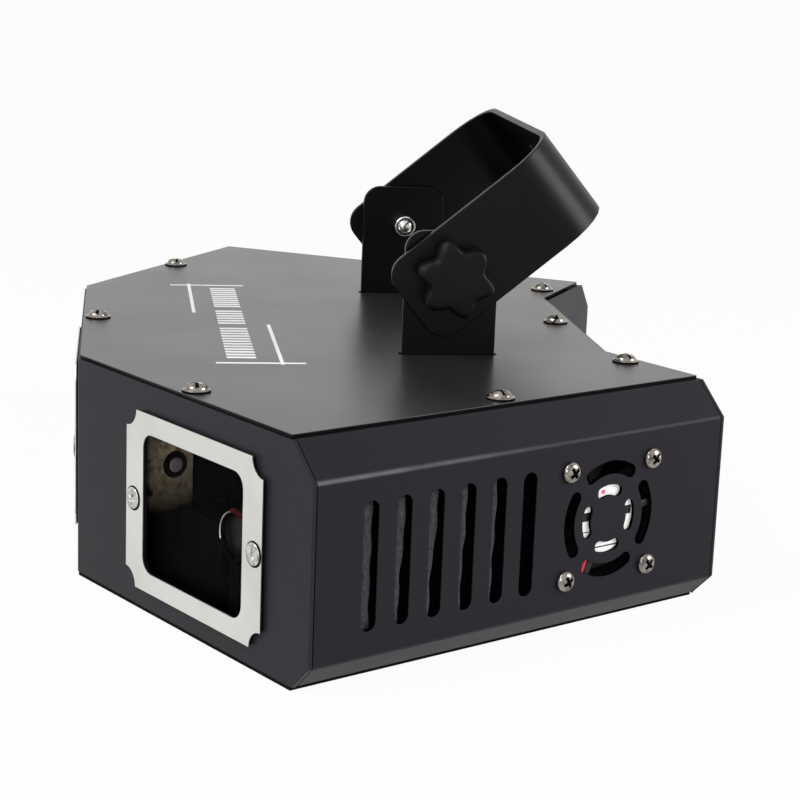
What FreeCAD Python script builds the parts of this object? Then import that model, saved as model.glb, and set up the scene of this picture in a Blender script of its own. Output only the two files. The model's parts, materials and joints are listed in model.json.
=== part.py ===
"""Laser show projector: a three-window projector in a folded steel case, on a tilting yoke.

Millimetres, +Z up. The base stands on z = 0, the windows face -Y, and the origin is
under the middle of the object's box. Right is +X.
"""
import FreeCAD, Part
import os
import math
import Sketcher
from FreeCAD import Vector

doc = FreeCAD.newDocument("LaserProjector")

# Driving sizes
SIZES = {
    # Case plan
    "nose_width": 119,
    "facet_width": 122,
    "side_length": 150.5,
    "recess_width": 92.34,
    "facet_angle": 30,
    # Case section
    "body_height": 69,
    "sheet": 1.2,
    "wall_height": 49.8,
    "top_bevel_share": 0.5714,
    "flange": 12,
    "seam": 0.3,
    "cover_side_inset": 1.1,
    "cover_front_inset": 0.6,
    "cover_back_inset": 1.9,
    # Fasteners
    "screw_radius": 1.5,
    "thread_play": 0.05,
    "screw_play": 0.25,
    "screw_length": 7,
    "short_screw_length": 5,
    "sink_screw_length": 5,
    "pan_radius": 3.2,
    "pan_height": 2.2,
    "pan_brow_radius": 2.2,
    "pan_brow_height": 1.9,
    "pan_crown_radius": 0.9,
    "pan_side": 0.9,
    "low_head_radius": 2.7,
    "low_head_height": 0.5,
    "low_head_edge": 0.2,
    "low_head_slope": 0.8,
    "low_cross_depth": 0.35,
    "collar_radius": 4.5,
    "collar_height": 0.6,
    "collar_edge": 0.3,
    "cross_width": 1.1,
    "cross_reach": 4,
    "cross_depth": 1.2,
    "cover_screw_setback": 5.3,
    "cover_screw_back": 7.6,
    "cover_screw_side": 6.3,
    "ear_screw_shift": 1.2,
    "facet_screw_to_shoulder": 64.2,
    "nose_floor_across": 41.7,
    "facet_floor_inset": 30.5,
    "side_floor_inset": 45.25,
    "bracket_floor_across": 32.7,
    # Windows
    "window_to_shoulder": 55.6,
    "frame_foot": 7.05,
    "frame_head": 8.95,
    "frame_width": 70,
    "frame_scoop": 5.3,
    "frame_sheet": 0.5,
    "gasket_sheet": 1,
    "gasket_lip": 0.4,
    "frame_stile": 9.15,
    "frame_rail": 5.9,
    "opening_radius": 4.5,
    "frame_screw_inset": 3.8,
    "glass_lap": 4,
    "glass_sheet": 2,
    # Vents
    "slot_first": 19,
    "slot_last_to_tail": 76.5,
    "slot_width": 5,
    "slot_foot": 7,
    "slot_head": 6.8,
    "filter_lap": 3,
    "filter_sheet": 3,
    # Fans
    "fan_to_tail": 45.6,
    "fan_size": 40,
    "fan_depth": 10,
    "fan_pitch": 32,
    "fan_bore": 18.6,
    "fan_hub": 10.5,
    "hub_wall": 1,
    "blade_gap": 0.8,
    "blade_sheet": 1,
    "blade_chord": 7.5,
    "blade_pitch": 40,
    "strut_width": 2.2,
    "stator_sheet": 1.6,
    "bearing_radius": 3,
    "shaft_radius": 1,
    "shaft_play": 0.05,
    "grille_inner_low": 6.9,
    "grille_inner_high": 10.2,
    "grille_outer_low": 13.3,
    "grille_outer_high": 17.3,
    "grille_spoke": 3.7,
    "lead_radius": 0.75,
    # Posts and yoke
    "pivot_setback": 112.8,
    "pivot_rise": 24.8,
    "post_span": 109,
    "post_width": 29,
    "post_sheet": 2,
    "post_rise": 13.6,
    "post_corner": 6,
    "post_slot_play": 0.8,
    "yoke_width": 29.4,
    "yoke_sheet": 2,
    "yoke_reach": 50.2,
    "yoke_heel": 16,
    "yoke_bend": 17,
    "yoke_corner": 7,
    "yoke_tilt": 39.5,
    "hanging_hole": 5.25,
    "friction_sheet": 1,
    "friction_radius": 12,
    "slip_gap": 0.1,
    # Knobs
    "stud_radius": 3,
    "stud_play": 0.3,
    "stud_end_recess": 1,
    "nut_radius": 3.6,
    "nut_length": 5,
    "knob_radius": 11.9,
    "knob_valley": 8.9,
    "knob_valley_radius": 4,
    "knob_lobe_round": 2,
    "knob_depth": 7.5,
    "knob_edge": 0.8,
    "knob_turn": 46,
    "washer_sheet": 1.2,
    "washer_radius": 7,
    # Optics
    "optics_setback": 24,
    "beam_level": 18,
    "plate_sheet": 1.5,
    "head_left": 34,
    "head_right": 30,
    "head_front": 14,
    "head_back": 46,
    "head_screw_across": 22,
    "head_screw_setback": 40,
    "rear_wall_height": 36,
    "right_wall_height": 44,
    "plate_nose": 9,
    "plate_nose_level": 8,
    "plate_drop": 13,
    "motor_radius": 7.5,
    "motor_length": 18,
    "boss_radius": 4,
    "boss_play": 0.1,
    "mirror_length": 12,
    "mirror_width": 9,
    "mirror_sheet": 1.2,
    "axle_depth": 6,
    "laser_length": 20,
    "laser_width": 18,
    "laser_height": 26,
    "lens_radius": 4,
    "lens_length": 4,
    "lens_rim": 1,
    "lens_recess": 1.5,
    "fin_count": 4,
    "fin_sheet": 1.5,
    "fin_depth": 3,
    # Back panel
    "inlet_across": 28,
    "inlet_level_share": 0.319,
    "inlet_width": 27,
    "inlet_height": 20,
    "inlet_depth": 22,
    "inlet_mouth": 15,
    "inlet_pole_across": 7,
    "inlet_pole_up": 3,
    "inlet_pole_down": 2,
    "inlet_pole_setback": 4,
    "socket_level_share": 0.29,
    "input_across": 6.5,
    "output_across": 33,
    "socket_width": 24,
    "socket_height": 29,
    "socket_radius": 11.2,
    "socket_depth": 20,
    "mouth_radius": 8,
    "mouth_depth": 11,
    "pin_radius": 1.2,
    "pin_circle": 4.6,
    "pin_setback": 5,
    "insert_setback": 1,
    "socket_screw_across": 19,
    "socket_screw_up": 24,
    "trim_sheet": 2,
    "trim_lip": 1.8,
    "fit_play": 0.2,
    "upper_level_share": 0.746,
    "switch_across": 33,
    "switch_width": 12.6,
    "switch_height": 19,
    "switch_depth": 15,
    "rocker_play": 0.4,
    "rocker_proud": 2.2,
    "rocker_keel": 2,
    "rocker_tilt": 8,
    "display_across": 7,
    "display_width": 30,
    "display_height": 13,
    "board_sheet": 1.6,
    "board_back": 9,
    "button_first": 17,
    "button_pitch": 7.2,
    "button_radius": 2.4,
    "button_proud": 2,
    "button_lip": 0.8,
    "button_gap": 0.9,
    "button_play": 0.35,
    "tact_width": 5,
    "display_foot_up": 4,
    # Boards
    "board_length": 48,
    "board_to_nose": 84,
    "board_past_middle": 2.75,
    "board_inward": 19,
    "standoff_height": 6,
    "standoff_radius": 2.5,
    "standoff_inset": 4,
}

sheet = doc.addObject("Spreadsheet::Sheet", "Sizes")
for row, (alias, number) in enumerate(SIZES.items(), start=1):
    sheet.set(f"A{row}", alias)
    sheet.set(f"B{row}", str(number))
    sheet.setAlias(f"B{row}", alias)
doc.recompute()


class Size:
    """A size with its number and the sheet formula that drives it."""

    def __init__(self, number, formula):
        self.number = number
        self.formula = formula

    def __add__(self, other):
        other = as_size(other)
        return Size(self.number + other.number, f"({self.formula} + {other.formula})")

    def __sub__(self, other):
        other = as_size(other)
        return Size(self.number - other.number, f"({self.formula} - {other.formula})")

    def __mul__(self, other):
        other = as_size(other)
        return Size(self.number * other.number, f"({self.formula} * {other.formula})")

    def __truediv__(self, other):
        other = as_size(other)
        return Size(self.number / other.number, f"({self.formula} / {other.formula})")

    def __neg__(self):
        return Size(-self.number, f"(0 - {self.formula})")

    __radd__ = __add__
    __rmul__ = __mul__

    def __rsub__(self, other):
        return as_size(other) - self


def as_size(value):
    """Turn a plain number into a Size."""
    if isinstance(value, Size):
        return value
    return Size(float(value), f"({float(value)})")


def size(alias):
    """The Size held by one named cell of the sheet."""
    return Size(float(sheet.get(alias)), f"Sizes.{alias}")


def cosine(angle):
    """Cosine of an angle in degrees."""
    return Size(math.cos(math.radians(angle.number)), f"cos({angle.formula})")


def sine(angle):
    """Sine of an angle in degrees."""
    return Size(math.sin(math.radians(angle.number)), f"sin({angle.formula})")


def tangent(angle):
    """Tangent of an angle in degrees."""
    return Size(math.tan(math.radians(angle.number)), f"tan({angle.formula})")


def bind(thing, path, value):
    """Drive one property of a document object by a size."""
    thing.setExpression(path, as_size(value).formula)


# Primitives and booleans

def put(thing, at, axis=Vector(0, 0, 1), angle=0):
    """Place an object at a point, turned about an axis by a plain angle or by a size."""
    driven = isinstance(angle, Size)
    if driven and angle.number < 0:
        axis = axis * -1
        angle = -angle
    turn = FreeCAD.Rotation(axis, as_size(angle).number)
    thing.Placement = FreeCAD.Placement(Vector(0, 0, 0), turn)
    for letter, value in zip("xyz", at):
        bind(thing, f".Placement.Base.{letter}", value)
    if driven:
        bind(thing, ".Placement.Rotation.Angle", angle)
    return thing


def box(at, extent):
    """A box from its lowest corner and its three lengths."""
    thing = doc.addObject("Part::Box", "Block")
    for path, value in zip(("Length", "Width", "Height"), extent):
        bind(thing, path, value)
    return put(thing, at)


def rod(at, radius, length, axis="z"):
    """A cylinder from the centre of its first end, along +x, +y or +z."""
    thing = doc.addObject("Part::Cylinder", "Rod")
    bind(thing, "Radius", radius)
    bind(thing, "Height", length)
    turns = {"x": (Vector(0, 1, 0), 90), "y": (Vector(1, 0, 0), -90), "z": (Vector(0, 0, 1), 0)}
    return put(thing, at, *turns[axis])


def fuse(*pieces):
    """Join pieces into one solid."""
    thing = doc.addObject("Part::MultiFuse", "Joined")
    thing.Shapes = list(pieces)
    thing.Refine = True
    return thing


def cut(base, *tools):
    """Take the tools away from the base."""
    thing = doc.addObject("Part::Cut", "Trimmed")
    thing.Base = base
    thing.Tool = tools[0] if len(tools) == 1 else fuse(*tools)
    thing.Refine = True
    return thing


def mirrored(piece):
    """The left-hand twin of a right-hand piece."""
    thing = doc.addObject("Part::Mirroring", "Twin")
    thing.Source = piece
    thing.Base = Vector(0, 0, 0)
    thing.Normal = Vector(1, 0, 0)
    return thing


# Sketched bodies

def new_body():
    """An empty body."""
    return doc.addObject("PartDesign::Body", "Body")


def new_sketch(body, plane):
    """A sketch on one of the body's own origin planes."""
    sketch = body.newObject("Sketcher::SketchObject", "Outline")
    support = next(item for item in body.Origin.OriginFeatures if item.Role == plane)
    sketch.AttachmentSupport = [(support, "")]
    sketch.MapMode = "FlatFace"
    return sketch


def flat(point):
    """A sketch point as a vector."""
    return Vector(as_size(point[0]).number, as_size(point[1]).number, 0)


def constrain(sketch, kind, *where):
    """Add one constraint without a value."""
    return sketch.addConstraint(Sketcher.Constraint(kind, *where))


def measure(sketch, kind, where, value):
    """Add one constraint driven by a size."""
    value = as_size(value)
    index = sketch.addConstraint(Sketcher.Constraint(kind, *where, value.number))
    sketch.setExpression(f"Constraints[{index}]", value.formula)


def pin(sketch, edge, end, point):
    """Hold one end or centre of a sketch edge at a point."""
    for kind, axis, value in (("DistanceX", -2, point[0]), ("DistanceY", -1, point[1])):
        if abs(as_size(value).number) < 1e-9:
            constrain(sketch, "PointOnObject", edge, end, axis)
        else:
            measure(sketch, kind, (-1, 1, edge, end), value)


def polygon(sketch, points):
    """A closed straight-sided outline."""
    first = sketch.GeometryCount
    count = len(points)
    for index in range(count):
        line = Part.LineSegment(flat(points[index]), flat(points[(index + 1) % count]))
        sketch.addGeometry(line)
    for index in range(count):
        constrain(sketch, "Coincident", first + index, 2, first + (index + 1) % count, 1)
    for index in range(count):
        pin(sketch, first + index, 1, points[index])


def circle(sketch, centre, radius):
    """A circle in a sketch."""
    edge = sketch.addGeometry(Part.Circle(flat(centre), Vector(0, 0, 1), as_size(radius).number))
    pin(sketch, edge, 3, centre)
    measure(sketch, "Radius", (edge,), radius)


def arc_chain(sketch, arcs, radius, kind):
    """Arcs of one radius, listed counter-clockwise, joined by straight lines.

    Each arc is a centre with its start and end angle in degrees. A kind of "Tangent"
    makes the lines leave the arcs smoothly, "Coincident" only joins them.
    """
    first = sketch.GeometryCount
    count = len(arcs)
    span = as_size(radius).number
    for centre, start, end in arcs:
        ring = Part.Circle(flat(centre), Vector(0, 0, 1), span)
        sketch.addGeometry(Part.ArcOfCircle(ring, math.radians(start), math.radians(end)))
    for index in range(count):
        here, start, end = arcs[index]
        there, next_start, next_end = arcs[(index + 1) % count]
        leaves = end if kind == "Tangent" else start
        enters = next_start if kind == "Tangent" else next_end
        tail = flat(here) + span * heading(leaves)
        head = flat(there) + span * heading(enters)
        sketch.addGeometry(Part.LineSegment(tail, head))
    for index in range(count):
        pin(sketch, first + index, 3, arcs[index][0])
        if index:
            constrain(sketch, "Equal", first, first + index)
        line = first + count + index
        arc_tail, arc_head = (2, 1) if kind == "Tangent" else (1, 2)
        constrain(sketch, kind, line, 1, first + index, arc_tail)
        constrain(sketch, kind, line, 2, first + (index + 1) % count, arc_head)
    measure(sketch, "Radius", (first,), radius)
    return first


def heading(angle):
    """Unit vector at an angle in degrees."""
    return Vector(math.cos(math.radians(angle)), math.sin(math.radians(angle)), 0)


def rounded_box(sketch, centre, width, height, radius):
    """A rectangle with rounded corners."""
    across = width / 2 - radius
    up = height / 2 - radius
    x, y = centre
    corners = (
        ((x + across, y - up), -90, 0),
        ((x + across, y + up), 0, 90),
        ((x - across, y + up), 90, 180),
        ((x - across, y - up), 180, 270),
    )
    arc_chain(sketch, corners, radius, "Tangent")


def scooped_box(sketch, centre, width, height, radius):
    """A rectangle with a quarter round scooped out of each corner."""
    x, y = centre
    corners = (
        ((x + width / 2, y - height / 2), 90, 180),
        ((x + width / 2, y + height / 2), 180, 270),
        ((x - width / 2, y + height / 2), 270, 360),
        ((x - width / 2, y - height / 2), 0, 90),
    )
    first = arc_chain(sketch, corners, radius, "Coincident")
    for index in range(4):
        along = "Horizontal" if index % 2 else "Vertical"
        line = first + 4 + index
        constrain(sketch, along, line, 1, first + index, 3)
        constrain(sketch, along, line, 2, first + (index + 1) % 4, 3)


def upright_slot(sketch, centre, width, height):
    """A tall slot with round ends."""
    x, y = centre
    up = (height - width) / 2
    ends = (((x, y + up), 0, 180), ((x, y - up), 180, 360))
    arc_chain(sketch, ends, width / 2, "Tangent")


def pad(body, sketch, length, side="One side", backwards=False):
    """Raise a sketch into a solid."""
    feature = body.newObject("PartDesign::Pad", "Pad")
    feature.Profile = sketch
    feature.SideType = side
    feature.Reversed = backwards
    bind(feature, "Length", length)
    doc.recompute()
    return feature


def pocket(body, sketch):
    """Cut a sketch right through the body, both ways."""
    before = body.Shape.Volume
    feature = body.newObject("PartDesign::Pocket", "Pocket")
    feature.Profile = sketch
    feature.Type = "ThroughAll"
    feature.SideType = "Symmetric"
    doc.recompute()
    if body.Shape.Volume >= before:
        raise RuntimeError("a pocket cut nothing")
    return feature


def round_edges(body, wanted, radius):
    """Round the edges of a body that a test picks out."""
    tip = body.Tip
    names = [f"Edge{number}" for number, edge in enumerate(tip.Shape.Edges, start=1) if wanted(edge)]
    if not names:
        raise RuntimeError("no edge to round")
    feature = body.newObject("PartDesign::Fillet", "Fillet")
    feature.Base = (tip, names)
    bind(feature, "Radius", radius)
    doc.recompute()


def runs_along(edge, direction):
    """Whether an edge is straight and parallel to a direction."""
    if not isinstance(edge.Curve, Part.Line):
        return False
    return abs(abs(edge.Curve.Direction.dot(direction)) - 1) < 1e-6


# Named pieces

nodes = []


def node(name, piece):
    """Name a finished piece and keep it for writing out."""
    piece.Label = name
    nodes.append(piece)
    return piece


def group(name, pieces):
    """Several equal pieces in one node."""
    thing = doc.addObject("Part::Compound", "Group")
    thing.Links = list(pieces)
    return node(name, thing)


# Levels and plan points shared by many pieces

sheet_t = size("sheet")
angle = size("facet_angle")
cos_a = cosine(angle)
sin_a = sine(angle)
half_turn_tan = tangent(angle / 2)
body_height = size("body_height")
bevels = body_height - sheet_t * 2 - size("wall_height")
top_bevel = bevels * size("top_bevel_share")
low_bevel = bevels - top_bevel
frame_height = body_height - size("frame_foot") - size("frame_head")
window_level = size("frame_foot") + frame_height / 2
window_along = size("facet_width") - size("window_to_shoulder")
opening_width = size("frame_width") - size("frame_stile") * 2
opening_height = frame_height - size("frame_rail") * 2
frame_screw_half = size("frame_width") / 2 - size("frame_screw_inset")
slot_height = size("wall_height") - size("slot_foot") - size("slot_head")
slot_pitch = (size("side_length") - size("slot_first") - size("slot_last_to_tail")) / 5
vent_z = sheet_t + low_bevel + size("slot_foot") + slot_height / 2
fan_along = size("side_length") - size("fan_to_tail")
plate_height = body_height - size("plate_drop")
inlet_level = body_height * size("inlet_level_share")
socket_level = body_height * size("socket_level_share")
upper = body_height * size("upper_level_share")
board_width = size("facet_width") - size("board_to_nose")
board_along = size("side_length") / 2 + size("board_past_middle")
base_top = sheet_t
cover_under = body_height - sheet_t
frame_proud = size("gasket_sheet") + size("frame_sheet")
front_proud = frame_proud + size("low_head_height")
case_depth = size("facet_width") * sin_a + size("side_length") * cos_a
nose_y = (front_proud - case_depth) / 2
nose_x = size("nose_width") / 2
shoulder_x = nose_x + size("facet_width") * cos_a
shoulder_y = nose_y + size("facet_width") * sin_a
tail_x = shoulder_x - size("side_length") * sin_a
tail_y = shoulder_y + size("side_length") * cos_a
recess_x = size("recess_width") / 2
ear_length = (tail_x - recess_x) / cos_a
recess_y = tail_y - ear_length * sin_a
pivot_y = nose_y + size("pivot_setback")
pivot_z = body_height + size("pivot_rise")
fold_room = size("flange") * half_turn_tan + size("seam")
tapped = size("screw_radius") + size("thread_play")
cleared = size("screw_radius") + size("screw_play")


def from_facet(along, inward):
    """Plan point measured along the right facet from the nose, and in from its face."""
    x = nose_x + along * cos_a - inward * sin_a
    y = nose_y + along * sin_a + inward * cos_a
    return (x, y)


def from_side(along, inward):
    """Plan point measured along the right side from its front end, and in from its wall."""
    x = shoulder_x - along * sin_a - inward * cos_a
    y = shoulder_y + along * cos_a - inward * sin_a
    return (x, y)


def on_right(pieces_at, spots):
    """Right-hand spots and their left-hand twins."""
    found = []
    for along, inward in spots:
        x, y = pieces_at(as_size(along), as_size(inward))
        found.append((x, y))
        found.append((-x, y))
    return found


ear_crown_middle = (ear_length + top_bevel + size("flange") - fold_room) / 2
ear_foot_middle = (ear_length + low_bevel + size("flange") - fold_room) / 2
facet_screw_along = size("facet_width") - size("facet_screw_to_shoulder")
cover_spots = [(as_size(0), nose_y + size("cover_screw_setback"))]
cover_spots += on_right(from_facet, [(facet_screw_along, size("cover_screw_setback"))])
side_inward = top_bevel + size("cover_screw_side")
cover_spots += on_right(from_side, [(size("side_length") / 2, side_inward)])
ear_inward = size("side_length") - size("cover_screw_back")
cover_spots += on_right(from_side, [(ear_inward, ear_crown_middle + size("ear_screw_shift"))])
cover_spots.append((as_size(0), recess_y - size("cover_screw_back")))

floor_inset = size("flange") / 2 + sheet_t
nose_floor = size("nose_floor_across")
floor_spots = [(nose_floor, nose_y + floor_inset), (-nose_floor, nose_y + floor_inset)]
for run in (size("facet_floor_inset"), size("facet_width") - size("facet_floor_inset")):
    floor_spots += on_right(from_facet, [(run, floor_inset)])
for run in (size("side_floor_inset"), size("side_length") - size("side_floor_inset")):
    floor_spots += on_right(from_side, [(run, low_bevel + floor_inset)])
floor_spots += on_right(from_side, [(size("side_length") - floor_inset, ear_foot_middle)])
floor_spots.append((as_size(0), recess_y - floor_inset))
bracket_floor = size("bracket_floor_across")
floor_spots += [(bracket_floor, pivot_y), (-bracket_floor, pivot_y)]


# Screws

def cross_recess(top, depth):
    """The cross cut into a screw's head, from its top face down."""
    reach = size("cross_reach")
    width = size("cross_width")
    long_way = box((-reach / 2, -width / 2, top - depth), (reach, width, depth))
    other_way = box((-width / 2, -reach / 2, top - depth), (width, reach, depth))
    return fuse(long_way, other_way)


def lathe(body, sketch):
    """Turn a section about its upright axis."""
    turn = body.newObject("PartDesign::Revolution", "Turned")
    turn.Profile = sketch
    turn.ReferenceAxis = (sketch, ["V_Axis"])
    turn.Angle = 360
    doc.recompute()


def pan_screw(length, collar=False):
    """A pan-head screw pointing down, its head standing on z = 0."""
    body = new_body()
    sketch = new_sketch(body, "XZ_Plane")
    radius = size("pan_radius")
    height = size("pan_height")
    points = [
        (as_size(0), -length),
        (size("screw_radius"), -length),
        (size("screw_radius"), as_size(0)),
    ]
    if collar:
        points.append((size("collar_radius"), as_size(0)))
        points.append((size("collar_radius"), size("collar_edge")))
        points.append((radius, size("collar_height")))
    else:
        points.append((radius, as_size(0)))
    points += [
        (radius, size("pan_side")),
        (size("pan_brow_radius"), size("pan_brow_height")),
        (size("pan_crown_radius"), height),
        (as_size(0), height),
    ]
    polygon(sketch, points)
    lathe(body, sketch)
    return cut(body, cross_recess(height, size("cross_depth")))


def low_screw(length):
    """A screw with a low head, pointing down, its head standing on z = 0."""
    body = new_body()
    sketch = new_sketch(body, "XZ_Plane")
    radius = size("low_head_radius")
    height = size("low_head_height")
    polygon(sketch, [
        (as_size(0), -length), (size("screw_radius"), -length), (size("screw_radius"), as_size(0)),
        (radius, as_size(0)), (radius, size("low_head_edge")),
        (radius - size("low_head_slope"), height), (as_size(0), height),
    ])
    lathe(body, sketch)
    return cut(body, cross_recess(height, size("low_cross_depth")))


def turned(at, *turns):
    """Where a copy stands: a point, and turns about axes, the last one first."""
    base = Vector(*[as_size(value).number for value in at])
    rotation = FreeCAD.Rotation()
    for axis, degrees in turns:
        rotation = rotation * FreeCAD.Rotation(axis, as_size(degrees).number)
    return FreeCAD.Placement(base, rotation)


def copies(name, pattern, places):
    """One node that holds a copy of a piece at each place."""
    doc.recompute()
    shapes = []
    for place in places:
        twin = pattern.Shape.copy()
        twin.Placement = place * twin.Placement
        shapes.append(twin)
    thing = doc.addObject("Part::Feature", "Set")
    thing.Shape = Part.makeCompound(shapes)
    return node(name, thing)


X = Vector(1, 0, 0)
Y = Vector(0, 1, 0)
Z = Vector(0, 0, 1)
RIGHT_ANGLE = 90


class Head:
    """One projecting head: where its window's middle is in plan, and how it is turned."""

    def __init__(self, name, base, turn):
        self.name = name
        self.base = base
        self.turn = turn

    def point(self, across, inward):
        """Plan point measured from the middle of the window."""
        x, y = self.base
        if self.turn is None:
            return (x + across, y + inward)
        return (x + across * cosine(self.turn) - inward * sine(self.turn),
                y + across * sine(self.turn) + inward * cosine(self.turn))

    def put(self, piece, inward=0):
        """Stand a piece that was made about the window's middle in this head."""
        x, y = self.point(as_size(0), as_size(inward))
        return put(piece, (x, y, 0), Z, 0 if self.turn is None else self.turn)

    def degrees(self):
        """The head's turn as a size."""
        return as_size(0) if self.turn is None else self.turn


window_x, window_y = from_facet(window_along, as_size(0))
heads = (
    Head("right", (window_x, window_y), angle),
    Head("centre", (as_size(0), nose_y), None),
    Head("left", (-window_x, window_y), -angle),
)
foot_spots = [(size("head_screw_across") * side, size("head_screw_setback")) for side in (-1, 1)]
for head in heads:
    floor_spots += [head.point(across, inward) for across, inward in foot_spots]

# How far a cutter runs past the faces it cuts
OVER = as_size(1)


# Case panels

def drills(spots, radius, low, length):
    """Upright rods at plan spots."""
    return [rod((x, y, low), radius, length) for x, y in spots]


def plan_outline(front, side, back):
    """Plan of the case, drawn in by a front, a side and a back inset."""
    right = [
        (nose_x - front * half_turn_tan, nose_y + front),
        from_side(front, side),
        from_side(size("side_length") - back, side),
        (recess_x + back * half_turn_tan, recess_y - back),
    ]
    left = [(-x, y) for x, y in reversed(right)]
    return right + left


def facet_outline(length):
    """Front view of a panel that ends in the side's bevelled section."""
    return [
        (as_size(0), base_top),
        (length - low_bevel, base_top),
        (length, base_top + low_bevel),
        (length, cover_under - top_bevel),
        (length - top_bevel, cover_under),
        (as_size(0), cover_under),
    ]


def oblong_outline(half):
    """Front view of a plain panel."""
    return [(-half, base_top), (half, base_top), (half, cover_under), (-half, cover_under)]


def plate(outline, backwards, window=None):
    """A flat panel, with a window and its screw holes where one is given."""
    body = new_body()
    sketch = new_sketch(body, "XZ_Plane")
    polygon(sketch, outline)
    pad(body, sketch, sheet_t, backwards=backwards)
    if window is not None:
        holes = new_sketch(body, "XZ_Plane")
        level = window_level
        grown = size("gasket_lip") * 2
        rounded_box(holes, (window, level), opening_width + grown,
                    opening_height + grown, size("opening_radius"))
        for side in (-1, 1):
            circle(holes, (window + frame_screw_half * side, level), tapped)
        pocket(body, holes)
    return body


def flanges(start, low_end, top_end, inward):
    """The strips along a panel's foot and head, folded inward by +1 or -1 along y."""
    depth = size("flange")
    near = as_size(0) if inward > 0 else -depth
    foot = box((start, near, base_top), (low_end - start, depth, sheet_t))
    crown = box((start, near, cover_under - sheet_t), (top_end - start, depth, sheet_t))
    return foot, crown


tapping = drills(cover_spots, tapped, cover_under - sheet_t * 2, sheet_t * 3)
tapping += drills(floor_spots, tapped, 0, size("plate_sheet") + size("post_sheet") + sheet_t)


def panel_run(middle_half, length, window, inward, corner):
    """A middle panel with a turned panel at each side, and their flanges."""
    backwards = inward > 0
    x, y = corner
    middle_window = None if window is None else as_size(0)
    over = as_size(0) if backwards else sheet_t
    middle = plate(oblong_outline(middle_half + over), backwards, middle_window)
    ends = middle_half - fold_room
    middle = put(fuse(middle, *flanges(-ends, ends, ends, inward)), (0, y, 0))
    wing = plate(facet_outline(length), backwards, window)
    low_end = length - low_bevel - size("flange") - size("seam")
    top_end = length - top_bevel - size("flange") - size("seam")
    wing = put(fuse(wing, *flanges(fold_room, low_end, top_end, inward)), (x, y, 0), Z, angle)
    return fuse(middle, wing, mirrored(wing))


front_run = panel_run(nose_x, size("facet_width"), window_along, 1, (nose_x, nose_y))
node("front_panel", cut(front_run, *tapping))


def through_back(across, level, width, height):
    """A square hole through the recessed back."""
    at = (across - width / 2, recess_y - sheet_t * 2, level - height / 2)
    return box(at, (width, sheet_t * 3, height))


def drill_back(across, level, radius):
    """A round hole through the recessed back."""
    return rod((across, recess_y - sheet_t * 2, level), radius, sheet_t * 3, "y")


play = size("fit_play")
inlet_x = -size("inlet_across")
switch_x = -size("switch_across")
display_x = -size("display_across")
button_xs = [size("button_first") + size("button_pitch") * step for step in range(4)]
socket_xs = (size("input_across"), size("output_across"))
socket_screws = []
for socket_x in socket_xs:
    for side in (-1, 1):
        across = socket_x + size("socket_screw_across") / 2 * side
        level = socket_level + size("socket_screw_up") / 2 * side
        socket_screws.append((across, level))

back_run = panel_run(recess_x, ear_length, None, -1, (recess_x, recess_y))
back_holes = [
    through_back(inlet_x, inlet_level, size("inlet_width"), size("inlet_height")),
    through_back(switch_x, upper, size("switch_width"), size("switch_height")),
    through_back(display_x, upper, size("display_width") + play * 2,
                 size("display_height") + play * 2),
]
back_holes += [drill_back(x, socket_level, size("socket_radius")) for x in socket_xs]
back_holes += [drill_back(x, upper, size("button_radius") + size("button_play")) for x in button_xs]
back_holes += [drill_back(x, level, tapped) for x, level in socket_screws]
node("back_panel", cut(back_run, *tapping, *back_holes))


def side_section():
    """Section of a side: foot flange, bevel, wall, bevel, head flange."""
    low = low_bevel
    top = top_bevel
    # A bevel rises as much as it runs, so each of its folds turns by half a right angle.
    fold_turn = as_size(RIGHT_ANGLE) / 2
    fold = sheet_t * tangent(fold_turn / 2)
    return [
        (-(low + size("flange")), base_top),
        (-low, base_top),
        (as_size(0), base_top + low),
        (as_size(0), cover_under - top),
        (-top, cover_under),
        (-(top + size("flange")), cover_under),
        (-(top + size("flange")), cover_under - sheet_t),
        (-(top + fold), cover_under - sheet_t),
        (-sheet_t, cover_under - top - fold),
        (-sheet_t, base_top + low + fold),
        (-(low + fold), base_top + sheet_t),
        (-(low + size("flange")), base_top + sheet_t),
    ]


side_start = sheet_t + size("seam")
fan_y = fan_along - side_start
half_pitch = size("fan_pitch") / 2


def fan_corners():
    """The fan's four screw positions about its axis."""
    return [(half_pitch * a, half_pitch * b) for a in (-1, 1) for b in (-1, 1)]


def ring_slots(low, high):
    """Four arc slots, parted by spokes on the diagonals, about the x axis."""
    reach = size("fan_size")
    spoke = size("grille_spoke")
    depth = sheet_t * 3
    ring = cut(rod((-depth / 2, 0, 0), high, depth, "x"), rod((-depth, 0, 0), low, depth * 2, "x"))
    spokes = []
    for turn in (45, 135):
        bar = box((-depth, -reach / 2, -spoke / 2), (depth * 2, reach, spoke))
        holder = doc.addObject("Part::Compound", "Spoke")
        holder.Links = [bar]
        spokes.append(put(holder, (0, 0, 0), X, turn))
    return put(cut(ring, *spokes), (0, fan_y, vent_z))


def side_panel():
    """The right side, made along +y from its front end, its wall's face on x = 0."""
    body = new_body()
    section = new_sketch(body, "XZ_Plane")
    polygon(section, side_section())
    pad(body, section, size("side_length") - side_start * 2, backwards=True)
    slots = new_sketch(body, "YZ_Plane")
    for step in range(6):
        along = size("slot_first") + slot_pitch * step - side_start
        upright_slot(slots, (along, vent_z), size("slot_width"), slot_height)
    for along, up in fan_corners():
        circle(slots, (fan_y + along, vent_z + up), cleared)
    pocket(body, slots)
    inner = ring_slots(size("grille_inner_low"), size("grille_inner_high"))
    outer = ring_slots(size("grille_outer_low"), size("grille_outer_high"))
    x, y = from_side(side_start, as_size(0))
    placed = put(cut(body, inner, outer), (x, y, 0), Z, angle)
    return cut(placed, *tapping)


right_side = node("right_side_panel", side_panel())
node("left_side_panel", mirrored(right_side))


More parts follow.
